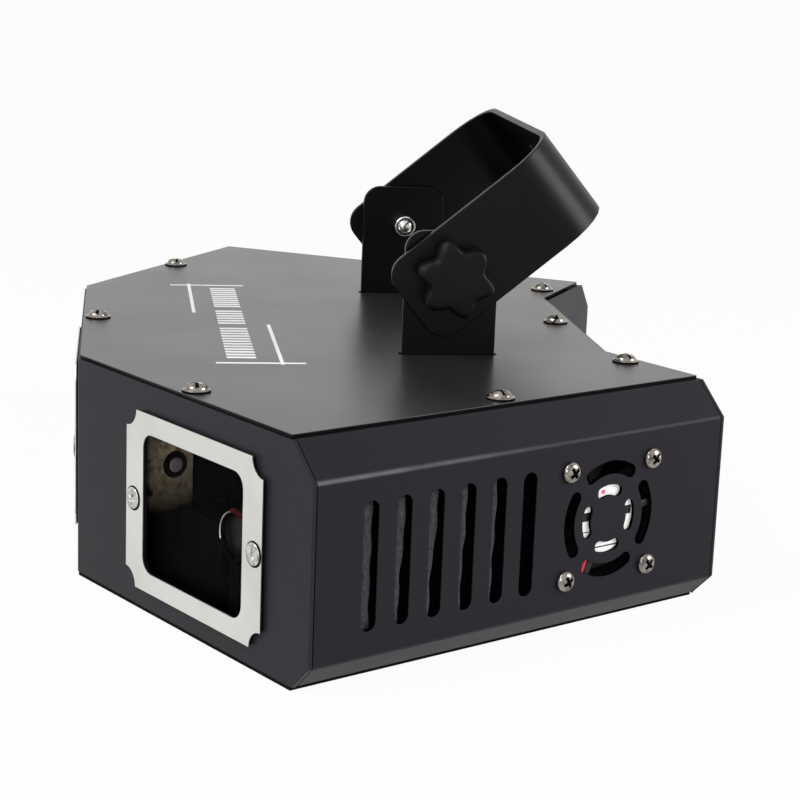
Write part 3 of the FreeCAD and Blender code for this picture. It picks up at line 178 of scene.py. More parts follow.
@dataclass(frozen=True)
class Finish:
    """A plain dielectric or metal with a fine grain in its height and gloss.

    The grain is its size and depth and a patch its size, in millimetres. Along stretches the grain.
    """

    name: str
    colour: str
    roughness: float = 0.5
    metallic: float = 0.0
    ior: float = 1.5
    specular: float = 0.5
    clear: float = 0.0
    pattern: Grain = Grain.NOISE
    grain: Two = (0.4, 0.02)
    grain_detail: float = 2.0
    along: Three = (1.0, 1.0, 1.0)
    gloss_patch: float = 12.0
    gloss_spread: float = 0.06
    tint: str = ""
    tint_patch: float = 20.0
    tint_range: Two = (0.42, 0.68)

    def build(self) -> bpy.types.Material:
        """Make the material, once.

        Returns:
            The Blender material of this finish.
        """
        known = bpy.data.materials.get(self.name)
        if known:
            return known
        material = bpy.data.materials.new(self.name)
        material.use_nodes = True
        tree = material.node_tree
        shader = tree.nodes["Principled BSDF"]
        settings = {
            "Base Color": linear(self.colour), "Roughness": self.roughness, "Metallic": self.metallic,
            "IOR": self.ior, "Specular IOR Level": self.specular, "Transmission Weight": self.clear,
        }
        for name, value in settings.items():
            shader.inputs[name].default_value = value
        self.dress(Mix(tree, shader, add_node(tree, "TexCoord").outputs["Object"]))
        return material

    def dress(self, mix: Mix) -> None:
        """Add the gloss patches, the tint and the grain.

        Args:
            mix: The material's nodes.
        """
        if self.gloss_spread:
            self.add_gloss(mix)
        if self.tint:
            self.add_tint(mix)
        if self.grain[1]:
            self.add_grain(mix)

    def add_gloss(self, mix: Mix) -> None:
        """Let the roughness drift a little in broad patches.

        Args:
            mix: The material's nodes.
        """
        patch = add_node(mix.tree, "TexNoise", {"Scale": 1 / (self.gloss_patch * MM), "Detail": 4.0},
                         {"Vector": mix.place})
        low = max(self.roughness - self.gloss_spread, 0.02)
        high = min(self.roughness + self.gloss_spread, 1.0)
        drift = add_node(mix.tree, "MapRange", {"To Min": low, "To Max": high}, {"Value": patch})
        mix.feed(drift.outputs["Result"], "Roughness")

    def add_tint(self, mix: Mix) -> None:
        """Let the colour drift towards the tint in patches.

        Args:
            mix: The material's nodes.
        """
        patch = add_node(mix.tree, "TexNoise",
                         {"Scale": 1 / (self.tint_patch * MM), "Detail": 6.0, "Roughness": 0.65},
                         {"Vector": mix.place})
        low, high = self.tint_range
        ramp = add_node(mix.tree, "MapRange", {"From Min": low, "From Max": high}, {"Value": patch})
        mixed = add_node(mix.tree, "Mix",
                         {"data_type": "RGBA", 6: linear(self.colour), 7: linear(self.tint)}, {0: ramp})
        mix.feed(mixed.outputs[2], "Base Color")

    def add_grain(self, mix: Mix) -> None:
        """Let a fine pattern stand out of the surface.

        Args:
            mix: The material's nodes.
        """
        size, depth = self.grain
        drawn = add_node(mix.tree, "Mapping", {"Scale": self.along}, {"Vector": mix.place})
        grain = add_node(mix.tree, self.pattern.value,
                         {"Scale": 1 / (size * MM), "Detail": self.grain_detail}, {"Vector": drawn})
        bump = add_node(mix.tree, "Bump", {"Strength": 1.0, "Distance": depth * MM}, {"Height": grain})
        mix.feed(bump.outputs["Normal"], "Normal")


@dataclass(frozen=True)
class GradedFinish(Finish):
    """A finish with painted shade: black below one level and whole above another, in millimetres."""

    black_below: float = 0.0
    whole_above: float = 1.0
    black_share: float = 0.1

    def dress(self, mix: Mix) -> None:
        """Paint shade on it: let the colour, the gloss and the metal die away below the upper level.

        Args:
            mix: The material's nodes.
        """
        super().dress(mix)
        height = add_node(mix.tree, "SeparateXYZ", {}, {"Vector": mix.place}).outputs["Z"]
        share = add_node(mix.tree, "MapRange",
                         {"From Min": self.black_below * MM, "From Max": self.whole_above * MM},
                         {"Value": height})
        colour = mix.shader.inputs["Base Color"]
        mixed = add_node(mix.tree, "Mix",
                         {"data_type": "RGBA", 6: linear(DEAD_BLACK), 7: linear(self.colour)}, {0: share})
        if colour.is_linked:
            mix.tree.links.new(colour.links[0].from_socket, mixed.inputs[7])
        mix.feed(mixed.outputs[2], "Base Color")
        for name, whole in (("Specular IOR Level", self.specular), ("Metallic", self.metallic)):
            scaled = add_node(mix.tree, "MapRange",
                              {"To Min": whole * self.black_share, "To Max": whole}, {"Value": share})
            mix.feed(scaled.outputs["Result"], name)


@dataclass(frozen=True)
class FoldedFinish(Finish):
    """A side wall's paint with a painted highlight along its fold and painted shade on the cut edges of its
    slots.

    The lengths are in millimetres and the wall's lean is in degrees.
    """

    fold: float = 0.0
    reach: float = 0.8
    core: float = 0.2
    highlight_patch: float = 50 / 3
    fade_from: float = 0.0
    fade_to: float = 1.0
    fold_highlight: str = "ffffff"
    lean: float = 30.0
    face: float = 0.0
    edge_band: Two = (0.4, 0.15)
    slots_middle: float = 0.0
    slots_half: float = 1.0

    def dress(self, mix: Mix) -> None:
        """Paint a highlight along the fold in patches that die away towards the back, and paint shade on
        what lies behind the face.

        Args:
            mix: The material's nodes.
        """
        super().dress(mix)
        parted = add_node(mix.tree, "SeparateXYZ", {}, {"Vector": mix.place})
        # Painted highlight: a pale band along the fold, in patches, fading towards the back.
        above = add_node(mix.tree, "Math", {"operation": "SUBTRACT", 1: self.fold * MM},
                         {0: parted.outputs["Z"]})
        apart = add_node(mix.tree, "Math", {"operation": "ABSOLUTE"}, {0: above})
        band = add_node(mix.tree, "MapRange", {"From Min": self.reach * MM, "From Max": self.core * MM},
                        {"Value": apart})
        patches = add_node(mix.tree, "TexNoise",
                           {"Scale": 1 / (self.highlight_patch * MM), "Detail": 3.0}, {"Vector": mix.place})
        spotty = add_node(mix.tree, "Math", {"operation": "MULTIPLY"}, {0: band, 1: patches})
        fade = add_node(mix.tree, "MapRange",
                        {"From Min": self.fade_to * MM, "From Max": self.fade_from * MM},
                        {"Value": parted.outputs["Y"]})
        amount = add_node(mix.tree, "Math", {"operation": "MULTIPLY"}, {0: spotty, 1: fade})
        mixed = add_node(mix.tree, "Mix",
                         {"data_type": "RGBA", 6: linear(self.colour), 7: linear(self.fold_highlight)},
                         {0: amount})
        # Painted shade on the slots' cut edges and behind the wall's face.
        lit = self.outer_share(mix.tree, parted)
        shaded = add_node(mix.tree, "Mix", {"data_type": "RGBA", 6: linear(DEAD_BLACK)},
                          {0: lit, 7: mixed.outputs[2]})
        mix.feed(shaded.outputs[2], "Base Color")
        gloss = add_node(mix.tree, "MapRange", {"To Min": 0.0, "To Max": self.specular}, {"Value": lit})
        mix.feed(gloss.outputs["Result"], "Specular IOR Level")

    def outer_share(self, tree: Tree, parted: Node) -> Socket:
        """One on the wall's outer face and wherever there are no slots, and nothing on the cut edges, which
        get painted shade.

        Args:
            tree: The material's nodes.
            parted: The place of the shaded point, parted into x, y and z.

        Returns:
            The share of the paint that shows.
        """
        aim = radians(self.lean)
        side = add_node(tree, "Math", {"operation": "ABSOLUTE"}, {0: parted.outputs["X"]})
        across = add_node(tree, "Math", {"operation": "MULTIPLY", 1: cos(aim)}, {0: side})
        outward = add_node(tree, "Math", {"operation": "MULTIPLY_ADD", 1: sin(aim)},
                           {0: parted.outputs["Y"], 2: across})
        deep, shallow = self.edge_band
        face = add_node(tree, "MapRange",
                        {"From Min": (self.face - deep) * MM, "From Max": (self.face - shallow) * MM},
                        {"Value": outward})
        near = add_node(tree, "Math",
                        {"operation": "COMPARE", 1: self.slots_middle * MM, 2: self.slots_half * MM},
                        {0: parted.outputs["Z"]})
        plain = add_node(tree, "Math", {"operation": "SUBTRACT", 0: 1.0}, {1: near})
        share = add_node(tree, "Math", {"operation": "MAXIMUM"}, {0: face, 1: plain})
        return share.outputs[0]


# Satin powder coat on folded steel: near black, with a fine orange peel that softens reflections.
CASE_PAINT = Finish("PowderCoatedSteelCase", "232126", 0.42, specular=0.11, grain=(0.9, 0.006),
                    gloss_spread=0.05)
# The same paint on the sides, with a painted highlight on the upper fold and painted shade on slot edges.
SIDE_PAINT = FoldedFinish("PowderCoatedSidePaintedLight", "201e23", 0.42, specular=0.09, grain=(0.9, 0.006),
                          gloss_spread=0.05, fade_from=-34.0, fade_to=40.0, fold_highlight="858388",
                          slots_half=20.0)
# Near-black paint on the base as painted shade: almost no light comes back from its edge.
BASE_PAINT = Finish("MattBlackBasePaintedShade", "030303", 0.7, specular=0.06, grain=(0.6, 0.01))
# Satin enamel on flat steel: smoother than the case, so it mirrors the pale room at a low angle.
# Its cut edge and under face are painted black below the top face: painted shade.
COVER_PAINT = GradedFinish("SatinEnamelledSteelCover", "1f1e1e", 0.3, grain=(1.2, 0.003), gloss_patch=40.0,
                           gloss_spread=0.05, black_below=68.78, whole_above=68.92)
# The same enamel on thick bent strip: blacker, with soft lights along its bends.
STRIP_PAINT = Finish("SatinEnamelledSteelStrip", "030203", 0.34, specular=0.14, grain=(0.8, 0.005))
# How rolling and drawing stretch a metal's grain
ROLLED = (1.0, 1.0, 12.0)
# Anodised aluminium plate: pale, satin, faintly streaked by rolling.
FRAME_METAL = Finish("SatinAnodisedAluminium", "d8dad4", 0.38, metallic=1.0, grain=(0.5, 0.004),
                     grain_detail=3.0, along=ROLLED, tint="cdcfc8", tint_patch=30.0)
# Die-cut rubber sheet: dead black with a slight tooth.
# The same black makes the painted shade rings beside the window plates' screws.
BLACK_RUBBER_AND_SHADE = Finish("DieCutRubberAndPaintedShade", "030303", 0.8, specular=0.1, grain=(0.3, 0.02))
# Nickel-plated steel: dark mirror with bright edges.
SCREW_METAL = Finish("NickelPlatedSteel", "98918a", 0.15, metallic=1.0, grain=(0.3, 0.003), tint="4a4541",
                     tint_patch=1.8, gloss_patch=2.0, gloss_spread=0.05)
# Satin zinc on the plates' screws: as pale as the plates, smudged.
PLATE_SCREW = Finish("SatinZincPlatedSteel", "cfd0cc", 0.34, metallic=1.0, grain=(0.4, 0.006),
                     tint="7f807c", tint_patch=1.4)
# Bright zinc-plated steel: pale and a little cloudy.
ZINC_METAL = Finish("BrightZincPlatedSteel", "d2d3d0", 0.22, metallic=1.0, grain=(0.5, 0.004),
                    tint="9a9b98", tint_patch=3.0)
# Passivated zinc on the scanner plates: brownish gold and mottled, darkened to black below as painted
# shade.
PASSIVATED = GradedFinish("PassivatedZincSheet", "a89a80", 0.55, metallic=0.35, grain=(0.6, 0.01),
                          tint="5f5340", tint_patch=2.0, black_below=27.0, whole_above=46.0)
# Dull rivet on the scanner plates: grey-brown.
RIVET_METAL = Finish("DullSteelRivet", "7a7370", 0.5, metallic=0.4, grain=(0.4, 0.01))
# Matt near-black: painted shade in the heads, behind the foam and in the screws' recesses.
# The same black colours the lens stands and the dark ceiling.
BLACK_AND_PAINTED_SHADE = Finish("MattBlackAndPaintedShade", DEAD_BLACK, 0.85, specular=0.04, grain=(0.5, 0.02))
# Moulded nylon: black with a fine spark-eroded grain.
KNOB_NYLON = Finish("MouldedNylonKnob", "0a090a", 0.4, specular=0.12, grain=(0.35, 0.012))
# Glass-filled moulding of fans and sockets: black, slightly greyer.
MOULDED_BLACK = Finish("MouldedBlackPolymer", "0e0e10", 0.5, specular=0.3, grain=(0.4, 0.012))
# Float glass with an anti-reflection coat: almost nothing but a faint haze.
PANE = Finish("CoatedFloatGlass", "ffffff", 0.02, ior=1.03, clear=1.0, grain=(0.4, 0.0), gloss_spread=0.01)
# Reticulated foam: dark grey cells that catch a little light.
FOAM = Finish("ReticulatedFoam", "36383b", 0.9, pattern=Grain.CELLS, grain=(0.9, 0.5), grain_detail=0.0,
              gloss_spread=0.0, tint="1c1d20", tint_patch=1.5)
# Silk-screen ink: matte white on the enamel, faintly uneven.
INK = Finish("SilkScreenInk", "ffffff", 0.5, grain=(0.3, 0.004), tint="f4f4f4", tint_patch=2.0)
# Front-silvered glass: a clear mirror.
MIRROR_COAT = Finish("FrontSilveredGlass", "f0f0f0", 0.03, metallic=1.0, grain=(0.4, 0.0005),
                     gloss_spread=0.01)
# Black anodised aluminium of the laser blocks and the scanner motors: dull, with faint drawn lines.
BLACK_ANODISED = Finish("BlackAnodisedAluminium", "030303", 0.6, specular=0.05, grain=(0.4, 0.006),
                        grain_detail=3.0, along=ROLLED)
# Coated lens glass: dark, with a faint soft reflection.
LENS_GLASS = Finish("CoatedLensGlass", "0a0a0d", 0.3, specular=0.1, grain=(2.0, 0.0005))
# Solder mask over copper: green, a little glossy, lighter over the tracks.
SOLDER_MASK = Finish("SolderMaskedBoard", "1d5a34", 0.35, grain=(0.8, 0.01), tint="2f7a48", tint_patch=3.0)
# Smoked acrylic of the display: dark and glossy.
SMOKED = Finish("SmokedAcrylic", "0b0506", 0.12, grain=(2.0, 0.001))
# Moulded polymer of the rocker: red, half glossy.
RED_MOULDED = Finish("MouldedRedPolymer", "a01010", 0.3, grain=(0.5, 0.008), tint="8a0d0d", tint_patch=6.0)
# Moulded polymer of the buttons: mid grey with a fine grain.
GREY_MOULDED = Finish("MouldedGreyPolymer", "55565a", 0.5, grain=(0.4, 0.015))
# Extruded sleeve of the fan's lead: clear red, half glossy.
RED_SLEEVE = Finish("RedWireSleeve", "dc2440", 0.4, grain=(0.4, 0.01))
# The red sleeve inside the heads, darkened as painted shade: a dull glimmer.
SHADED_RED_SLEEVE = Finish("RedWireSleevePaintedShade", "34060c", 0.6, specular=0.04, grain=(0.4, 0.004))
# Paper label on the fan motor: off-white, faintly stained.
LABEL_PAPER = Finish("CoatedLabelPaper", "fbfbf9", 0.5, grain=(0.5, 0.004), tint="f0f0ee", tint_patch=3.0)
# Printing ink on the label: matte pink.
PINK_INK = Finish("PinkPrintInk", "e05a8a", 0.5, grain=(0.3, 0.002))


# Mesh makers

EDGE_STEPS = 2
FOLD_STEPS = 6
ROD_STEPS = 40
MERGED = 1e-7
TOUCHING = 1e-6
PARALLEL = 0.999
# Share of a radius that keeps two full rounds apart
FULL_ROUND = 0.999
# Length of a cutter that goes through one sheet
CUT = 12.0


def solid_box(low: Three, high: Three, round_off: float = 0.0) -> Mesh:
    """A block between two corners, its edges rounded.

    Args:
        low: Lowest corner.
        high: Highest corner.
        round_off: Radius of the edges, 0 for sharp ones.

    Returns:
        The block.
    """
    bm = bmesh.new()
    ops.create_cube(bm, size=1.0)
    span = [b - a for a, b in zip(low, high)]
    middle = [(a + b) / 2 for a, b in zip(low, high)]
    ops.scale(bm, vec=vec(*span), verts=bm.verts)
    ops.translate(bm, vec=vec(*middle), verts=bm.verts)
    if round_off:
        ops.bevel(bm, geom=bm.edges[:], offset=round_off * MM, segments=EDGE_STEPS, profile=0.5,
                  affect="EDGES", material=-1)
    return bm


def runs_along(edge: bmesh.types.BMEdge, axis: Vector) -> bool:
    """Whether an edge is parallel to an axis."""
    way = edge.verts[1].co - edge.verts[0].co
    return way.length > 0 and abs(way.normalized().dot(axis)) > PARALLEL


def rounded_prism(width: float, height: float, radius: float, depth: float, segments: int = 8) -> Mesh:
    """A block about the origin whose four edges along y are rounded.

    Args:
        width: Length along x.
        height: Length along z.
        radius: Radius of the rounded edges.
        depth: Length along y.
        segments: Steps of the rounding.

    Returns:
        The prism.
    """
    bm = solid_box((-width / 2, -depth / 2, -height / 2), (width / 2, depth / 2, height / 2))
    edges = [edge for edge in bm.edges if runs_along(edge, Y)]
    ops.bevel(bm, geom=edges, offset=radius * MM * FULL_ROUND, segments=segments, profile=0.5,
              affect="EDGES", material=-1)
    return bm


def lathe(profile: Sequence[Two], steps: int = 48) -> Mesh:
    """A turned shape about the z axis.

    Args:
        profile: Radius and height of each point, in order.
        steps: Steps of the turn.

    Returns:
        The turned shape, closed where the profile meets the axis.
    """
    bm = bmesh.new()
    verts = [bm.verts.new(vec(radius, 0, height)) for radius, height in profile]
    edges = [bm.edges.new(link) for link in zip(verts, verts[1:])]
    ops.spin(bm, geom=verts + edges, cent=(0, 0, 0), axis=Z, angle=2 * pi, steps=steps,
             use_merge=True)
    ops.remove_doubles(bm, verts=bm.verts, dist=MERGED)
    ops.recalc_face_normals(bm, faces=bm.faces)
    return bm


def ring_profile(inner: float, outer: float, low: float, high: float, edge: float) -> Points:
    """Closed section of a ring with chamfered outer edges.

    Args:
        inner: Its inner radius.
        outer: Its outer radius.
        low: Where it starts.
        high: Where it ends.
        edge: Its chamfer.

    Returns:
        The section.
    """
    return [
        (inner, low), (outer - edge, low), (outer, low + edge), (outer, high - edge), (outer - edge, high),
        (inner + edge, high), (inner, high - edge), (inner, low),
    ]


def new_verts(grown: Iterable) -> list[bmesh.types.BMVert]:
    """The corners among what an extrusion made."""
    return [item for item in grown if isinstance(item, bmesh.types.BMVert)]


def arc_slot(low: float, high: float, middle: float, half: float, depth: float) -> Mesh:
    """A curved slot cutter about the x axis, with round ends.

    Args:
        low: Inner radius.
        high: Outer radius.
        middle: Where its middle lies, in degrees from +y towards +z.
        half: Half its sweep with the ends, in degrees.
        depth: Length along x.

    Returns:
        The cutter.
    """
    track = (low + high) / 2
    cap = (high - low) / 2
    bend = radians(half) - cap / track
    steps = 12
    points = []
    for sign, radius in ((1, high), (-1, low)):
        for step in range(steps + 1):
            points.append((radius, sign * bend * (2 * step / steps - 1), 0.0))
        for step in range(1, steps):
            points.append((track, sign * bend, pi * step / steps * sign))
    bm = bmesh.new()
    verts = []
    for radius, aim, swing in points:
        out = Vector((0, cos(aim), sin(aim)))
        side = Vector((0, -sin(aim), cos(aim)))
        spot = out * radius
        if radius == track:
            lead = 1 if aim > 0 else -1
            spot += (out * cos(swing) * lead + side * sin(abs(swing)) * lead) * cap
        verts.append(bm.verts.new(spot * MM + vec(-depth / 2, 0, 0)))
    face = bm.faces.new(verts)
    far = new_verts(ops.extrude_face_region(bm, geom=[face])["geom"])
    ops.translate(bm, verts=far, vec=vec(depth, 0, 0))
    ops.recalc_face_normals(bm, faces=bm.faces)
    return placed(bm, turn(middle, "X"))


def fold_sheet(path: Sequence[Vector], depth: Vector, radius: float, out: Vector) -> Mesh:
    """An open sheet along a path, with its folds rounded.

    Args:
        path: Points of the outer face's section, in metres.
        depth: The way and length that the section is pulled.
        radius: Outer radius of the folds.
        out: Roughly the way that the face with the largest area looks.

    Returns:
        The sheet, its faces looking out.
    """
    bm = bmesh.new()
    verts = [bm.verts.new(point) for point in path]
    edges = [bm.edges.new(link) for link in zip(verts, verts[1:])]
    far = new_verts(ops.extrude_edge_only(bm, edges=edges)["geom"])
    ops.translate(bm, verts=far, vec=depth)
    for before, here, after in zip(path, path[1:], path[2:]):
        bend = (here - before).angle(after - here)
        ends = (here, here + depth)
        folds = [edge for edge in bm.edges
                 if all(min((vert.co - end).length for end in ends) < TOUCHING for vert in edge.verts)]
        ops.bevel(bm, geom=folds, offset=radius * MM * tan(bend / 2), segments=FOLD_STEPS,
                  profile=0.5, affect="EDGES", material=-1)
    ops.recalc_face_normals(bm, faces=bm.faces)
    largest = max(bm.faces, key=lambda face: face.calc_area())
    if largest.normal.dot(out) < 0:
        ops.reverse_faces(bm, faces=bm.faces)
    return bm


def flat_sheet(outline: Points, level: float) -> Mesh:
    """A flat face at a level, looking up.

    Args:
        outline: Plan points in order.
        level: Its height.

    Returns:
        The face.
    """
    bm = bmesh.new()
    face = bm.faces.new([bm.verts.new(vec(x, y, level)) for x, y in outline])
    face.normal_update()
    if face.normal.z < 0:
        face.normal_flip()
    return bm


def turned_rod(low: Three, axis: str, radius: float, length: float, edge: float = 0.0) -> Mesh:
    """A rod from a point along an axis, its two ends chamfered.

    Args:
        low: Middle of its first end.
        axis: "x", "y" or "z".
        radius: Its radius.
        length: Its length.
        edge: Chamfer of its ends.

    Returns:
        The rod.
    """
    profile = [
        (0, 0), (radius - edge, 0), (radius, edge), (radius, length - edge), (radius - edge, length),
        (0, length),
    ]
    aim = {"x": turn(90, "Y"), "y": turn(-90, "X"), "z": Matrix.Identity(4)}[axis]
    return placed(lathe(profile, ROD_STEPS), move(*low) @ aim)


def wire_tube(points: Sequence[Three], radius: float) -> Mesh:
    """A round wire through points.

    Args:
        points: Where it goes.
        radius: Its radius.

    Returns:
        The wire's mesh.
    """
    curve = bpy.data.curves.new("wire", "CURVE")
    curve.dimensions = "3D"
    curve.bevel_depth = radius * MM
    curve.bevel_resolution = 3
    curve.use_fill_caps = True
    line = curve.splines.new("BEZIER")
    line.bezier_points.add(len(points) - 1)
    for knot, spot in zip(line.bezier_points, points):
        knot.co = vec(*spot)
        knot.handle_left_type = "AUTO"
        knot.handle_right_type = "AUTO"
    holder = bpy.data.objects.new("wire", curve)
    bpy.context.scene.collection.objects.link(holder)
    graph = bpy.context.evaluated_depsgraph_get()
    data = bpy.data.meshes.new_from_object(holder.evaluated_get(graph), depsgraph=graph)
    bm = bmesh.new()
    bm.from_mesh(data)
    bpy.data.meshes.remove(data)
    bpy.data.curves.remove(curve)
    ops.remove_doubles(bm, verts=bm.verts, dist=MERGED)
    ops.recalc_face_normals(bm, faces=bm.faces)
    return bm


def join(parts: Iterable[Mesh]) -> Mesh:
    """Put several meshes into one, and free them.

    Args:
        parts: The meshes.

    Returns:
        The one mesh.
    """
    whole = bmesh.new()
    for part in parts:
        spare = bpy.data.meshes.new("spare")
        part.to_mesh(spare)
        whole.from_mesh(spare)
        part.free()
        bpy.data.meshes.remove(spare)
    return whole


def placed(bm: Mesh, place: Matrix) -> Mesh:
    """Move a mesh, keeping its faces outward when the place mirrors it.

    Args:
        bm: The mesh.
        place: Where it goes.

    Returns:
        The same mesh.
    """
    ops.transform(bm, matrix=place, verts=bm.verts)
    if place.determinant() < 0:
        ops.reverse_faces(bm, faces=bm.faces)
    return bm


def raw_object(bm: Mesh, name: str) -> Piece:
    """Turn a mesh into an object in the scene, and free it.

    Args:
        bm: The mesh.
        name: The object's name.

    Returns:
        The object.
    """
    data = bpy.data.meshes.new(name)
    bm.to_mesh(data)
    bm.free()
    made = bpy.data.objects.new(name, data)
    bpy.context.scene.collection.objects.link(made)
    return made


def bake(piece: Piece) -> None:
    """Apply a piece's modifiers to its mesh.

    Args:
        piece: The object to work on.
    """
    graph = bpy.context.evaluated_depsgraph_get()
    data = bpy.data.meshes.new_from_object(piece.evaluated_get(graph), depsgraph=graph)
    old = piece.data
    piece.modifiers.clear()
    piece.data = data
    bpy.data.meshes.remove(old)


@dataclass
class Worked:
    """What is done to a sheet or block after its first form.

    Lengths are in millimetres. The cutters are taken away, and the edges left are rounded.
    """

    thickness: float = 0.0
    cutters: list[Mesh] = field(default_factory=list)
    edge: float = 0.2
    edge_steps: int = EDGE_STEPS
    edge_angle: float = 38.0

    def apply(self, piece: Piece) -> None:
        """Thicken, cut and round a piece.

        Args:
            piece: The object to work on.
        """
        if self.thickness:
            wall = piece.modifiers.new("wall", "SOLIDIFY")
            wall.thickness = self.thickness * MM
            wall.offset = -1.0
            wall.use_even_offset = True
            bake(piece)
        if self.cutters:
            tool = raw_object(join(self.cutters), "cutter")
            bite = piece.modifiers.new("bite", "BOOLEAN")
            bite.operation = "DIFFERENCE"
            bite.solver = "EXACT"
            bite.object = tool
            bake(piece)
            bpy.data.meshes.remove(tool.data)
        if self.edge:
            soft = piece.modifiers.new("edge", "BEVEL")
            soft.width = self.edge * MM
            soft.segments = self.edge_steps
            soft.limit_method = "ANGLE"
            soft.angle_limit = radians(self.edge_angle)
            flat = piece.modifiers.new("flat", "WEIGHTED_NORMAL")
            flat.keep_sharp = True
            bake(piece)


def finished(bm: Mesh, name: str, finish: Finish, body: str, nodes: Sequence[str] = (),
             work: Worked | None = None, place: Matrix | None = None,
             shade: Shade = Shade.CRISP) -> Piece:
    """Make a finished piece that rides on a body.

    Args:
        bm: Its mesh.
        name: Its name.
        finish: Its finish.
        body: The body it rides on.
        nodes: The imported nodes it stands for.
        work: What is done to it after its first form.
        place: Where it goes.
        shade: How its edges take the light.

    Returns:
        The piece.
    """
    piece = raw_object(bm, name)
    piece.data.shade_smooth()
    piece.data.set_sharp_from_angle(angle=radians(shade.value))
    if work:
        work.apply(piece)
    if place is not None:
        piece.data.transform(place)
        if place.determinant() < 0:
            piece.data.flip_normals()
    return registered(piece, finish, body, nodes)


def registered(piece: Piece, finish: Finish, body: str, nodes: Sequence[str]) -> Piece:
    """Give a piece its finish, its body and the nodes it stands for.

    Args:
        piece: The piece.
        finish: Its finish.
        body: The body it rides on.
        nodes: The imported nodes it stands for.

    Returns:
        The same piece.
    """
    piece.data.materials.clear()
    piece.data.materials.append(finish.build())
    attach(piece, body)
    if nodes:
        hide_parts(*nodes)
    log.info("%s: %d faces", piece.name, len(piece.data.polygons))
    return piece


def pair(bm: Mesh, name: str, finish: Finish, body: str, node: str = "",
         work: Worked | None = None, place: Matrix | None = None, shade: Shade = Shade.CRISP) -> None:
    """Make a right-hand piece and its left twin.

    Args:
        bm: The right-hand mesh.
        name: Their name after the side's.
        finish: Their finish.
        body: The body each rides on, with a star for the side's name.
        node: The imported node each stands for, with the same star, or nothing.
        work: What is done to them after their first form.
        place: Where the right one goes.
        shade: How their edges take the light.
    """
    rides = {side: body.replace("*", side) for side in ("right", "left")}
    stands = {side: [node.replace("*", side)] if node else [] for side in rides}
    right = finished(bm, f"right_{name}", finish, rides["right"], stands["right"], work, place, shade)
    data = right.data.copy()
    data.name = f"left_{name}"
    data.transform(MIRROR)
    data.flip_normals()
    left = bpy.data.objects.new(data.name, data)
    bpy.context.scene.collection.objects.link(left)
    registered(left, finish, rides["left"], stands["left"])


def dress_node(name: str, finish: Finish) -> None:
    """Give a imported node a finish."""
    for holder in frame["nodes"][name].material_slots:
        holder.material = finish.build()


# The plan that the case, the windows and the fans share

@dataclass(frozen=True)
class Plan:
    """Plan of the case: the nose, the turned facets, the sides and the ears."""

    nose: float = 119.0
    facet: float = 122.0
    side: float = 150.5
    ear: float = 50.5
    angle: float = 30.0
    height: float = 69.0
    sheet: float = 1.2
    top_bevel: float = 9.6
    low_bevel: float = 7.2
    flange: float = 12.0
    seam: float = 0.3
    window_along: float = 66.4
    window_level: float = 33.55
    slot_first: float = 19.0
    slot_pitch: float = 11.0
    slot_count: int = 6
    slot_size: Two = (5.0, 36.0)
    vent_level: float = 33.4
    fan_along: float = 104.9
    fan_pitch: float = 32.0
    inlet: Two = (-28.0, 22.01)
    switch: Two = (-33.0, 51.47)
    display: Two = (-7.0, 51.47)
    sockets: Two = (6.5, 33.0)
    socket_level: float = 20.01
    buttons: tuple[float, ...] = (17.0, 24.2, 31.4, 38.6)
    pivot_setback: float = 112.8
    pivot_level: float = 93.8
    nose_y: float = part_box("front_panel")[0].y / MM

    @property
    def cover_under(self) -> float:
        """Height of the cover's under face."""
        return self.height - self.sheet

    @property
    def facet_place(self) -> Matrix:
        """The right facet's frame: x along it, y inward."""
        return move(self.nose / 2, self.nose_y, 0) @ turn(self.angle, "Z")

    @property
    def side_place(self) -> Matrix:
        """The right side's frame: x outward, y along it to the back."""
        return self.facet_place @ move(self.facet, 0, 0)

    @property
    def ear_place(self) -> Matrix:
        """The right ear's frame: x along it outward, y out of the back."""
        return self.side_place @ move(-self.ear, self.side, 0)

    @property
    def wall_face(self) -> float:
        """How far out the right side's face stands, along its own outward line."""
        outward = self.side_place.col[0].to_3d()
        return self.side_place.to_translation().dot(outward) / MM

    def point(self, place: Matrix, along: float, inward: float) -> Two:
        """A plan point in millimetres from a frame's own measures."""
        spot = place @ vec(along, inward, 0) / MM
        return (spot.x, spot.y)

    @property
    def recess_y(self) -> float:
        """Where the back panel's outer face stands between the ears."""
        return self.point(self.ear_place, 0, 0)[1]

    def head_place(self, name: str) -> Matrix:
        """A head's frame, its origin under the middle of the window.

        Args:
            name: Which head, one of HEADS.

        Returns:
            The frame, x along the window and y inward.
        """
        if name == "centre":
            return move(0, self.nose_y, 0)
        right = self.facet_place @ move(self.window_along, 0, 0)
        if name == "right":
            return right
        spot = right.to_translation()
        return Matrix.Translation((-spot.x, spot.y, 0)) @ turn(-self.angle, "Z")


PLAN = Plan()
HEADS = ("right", "centre", "left")


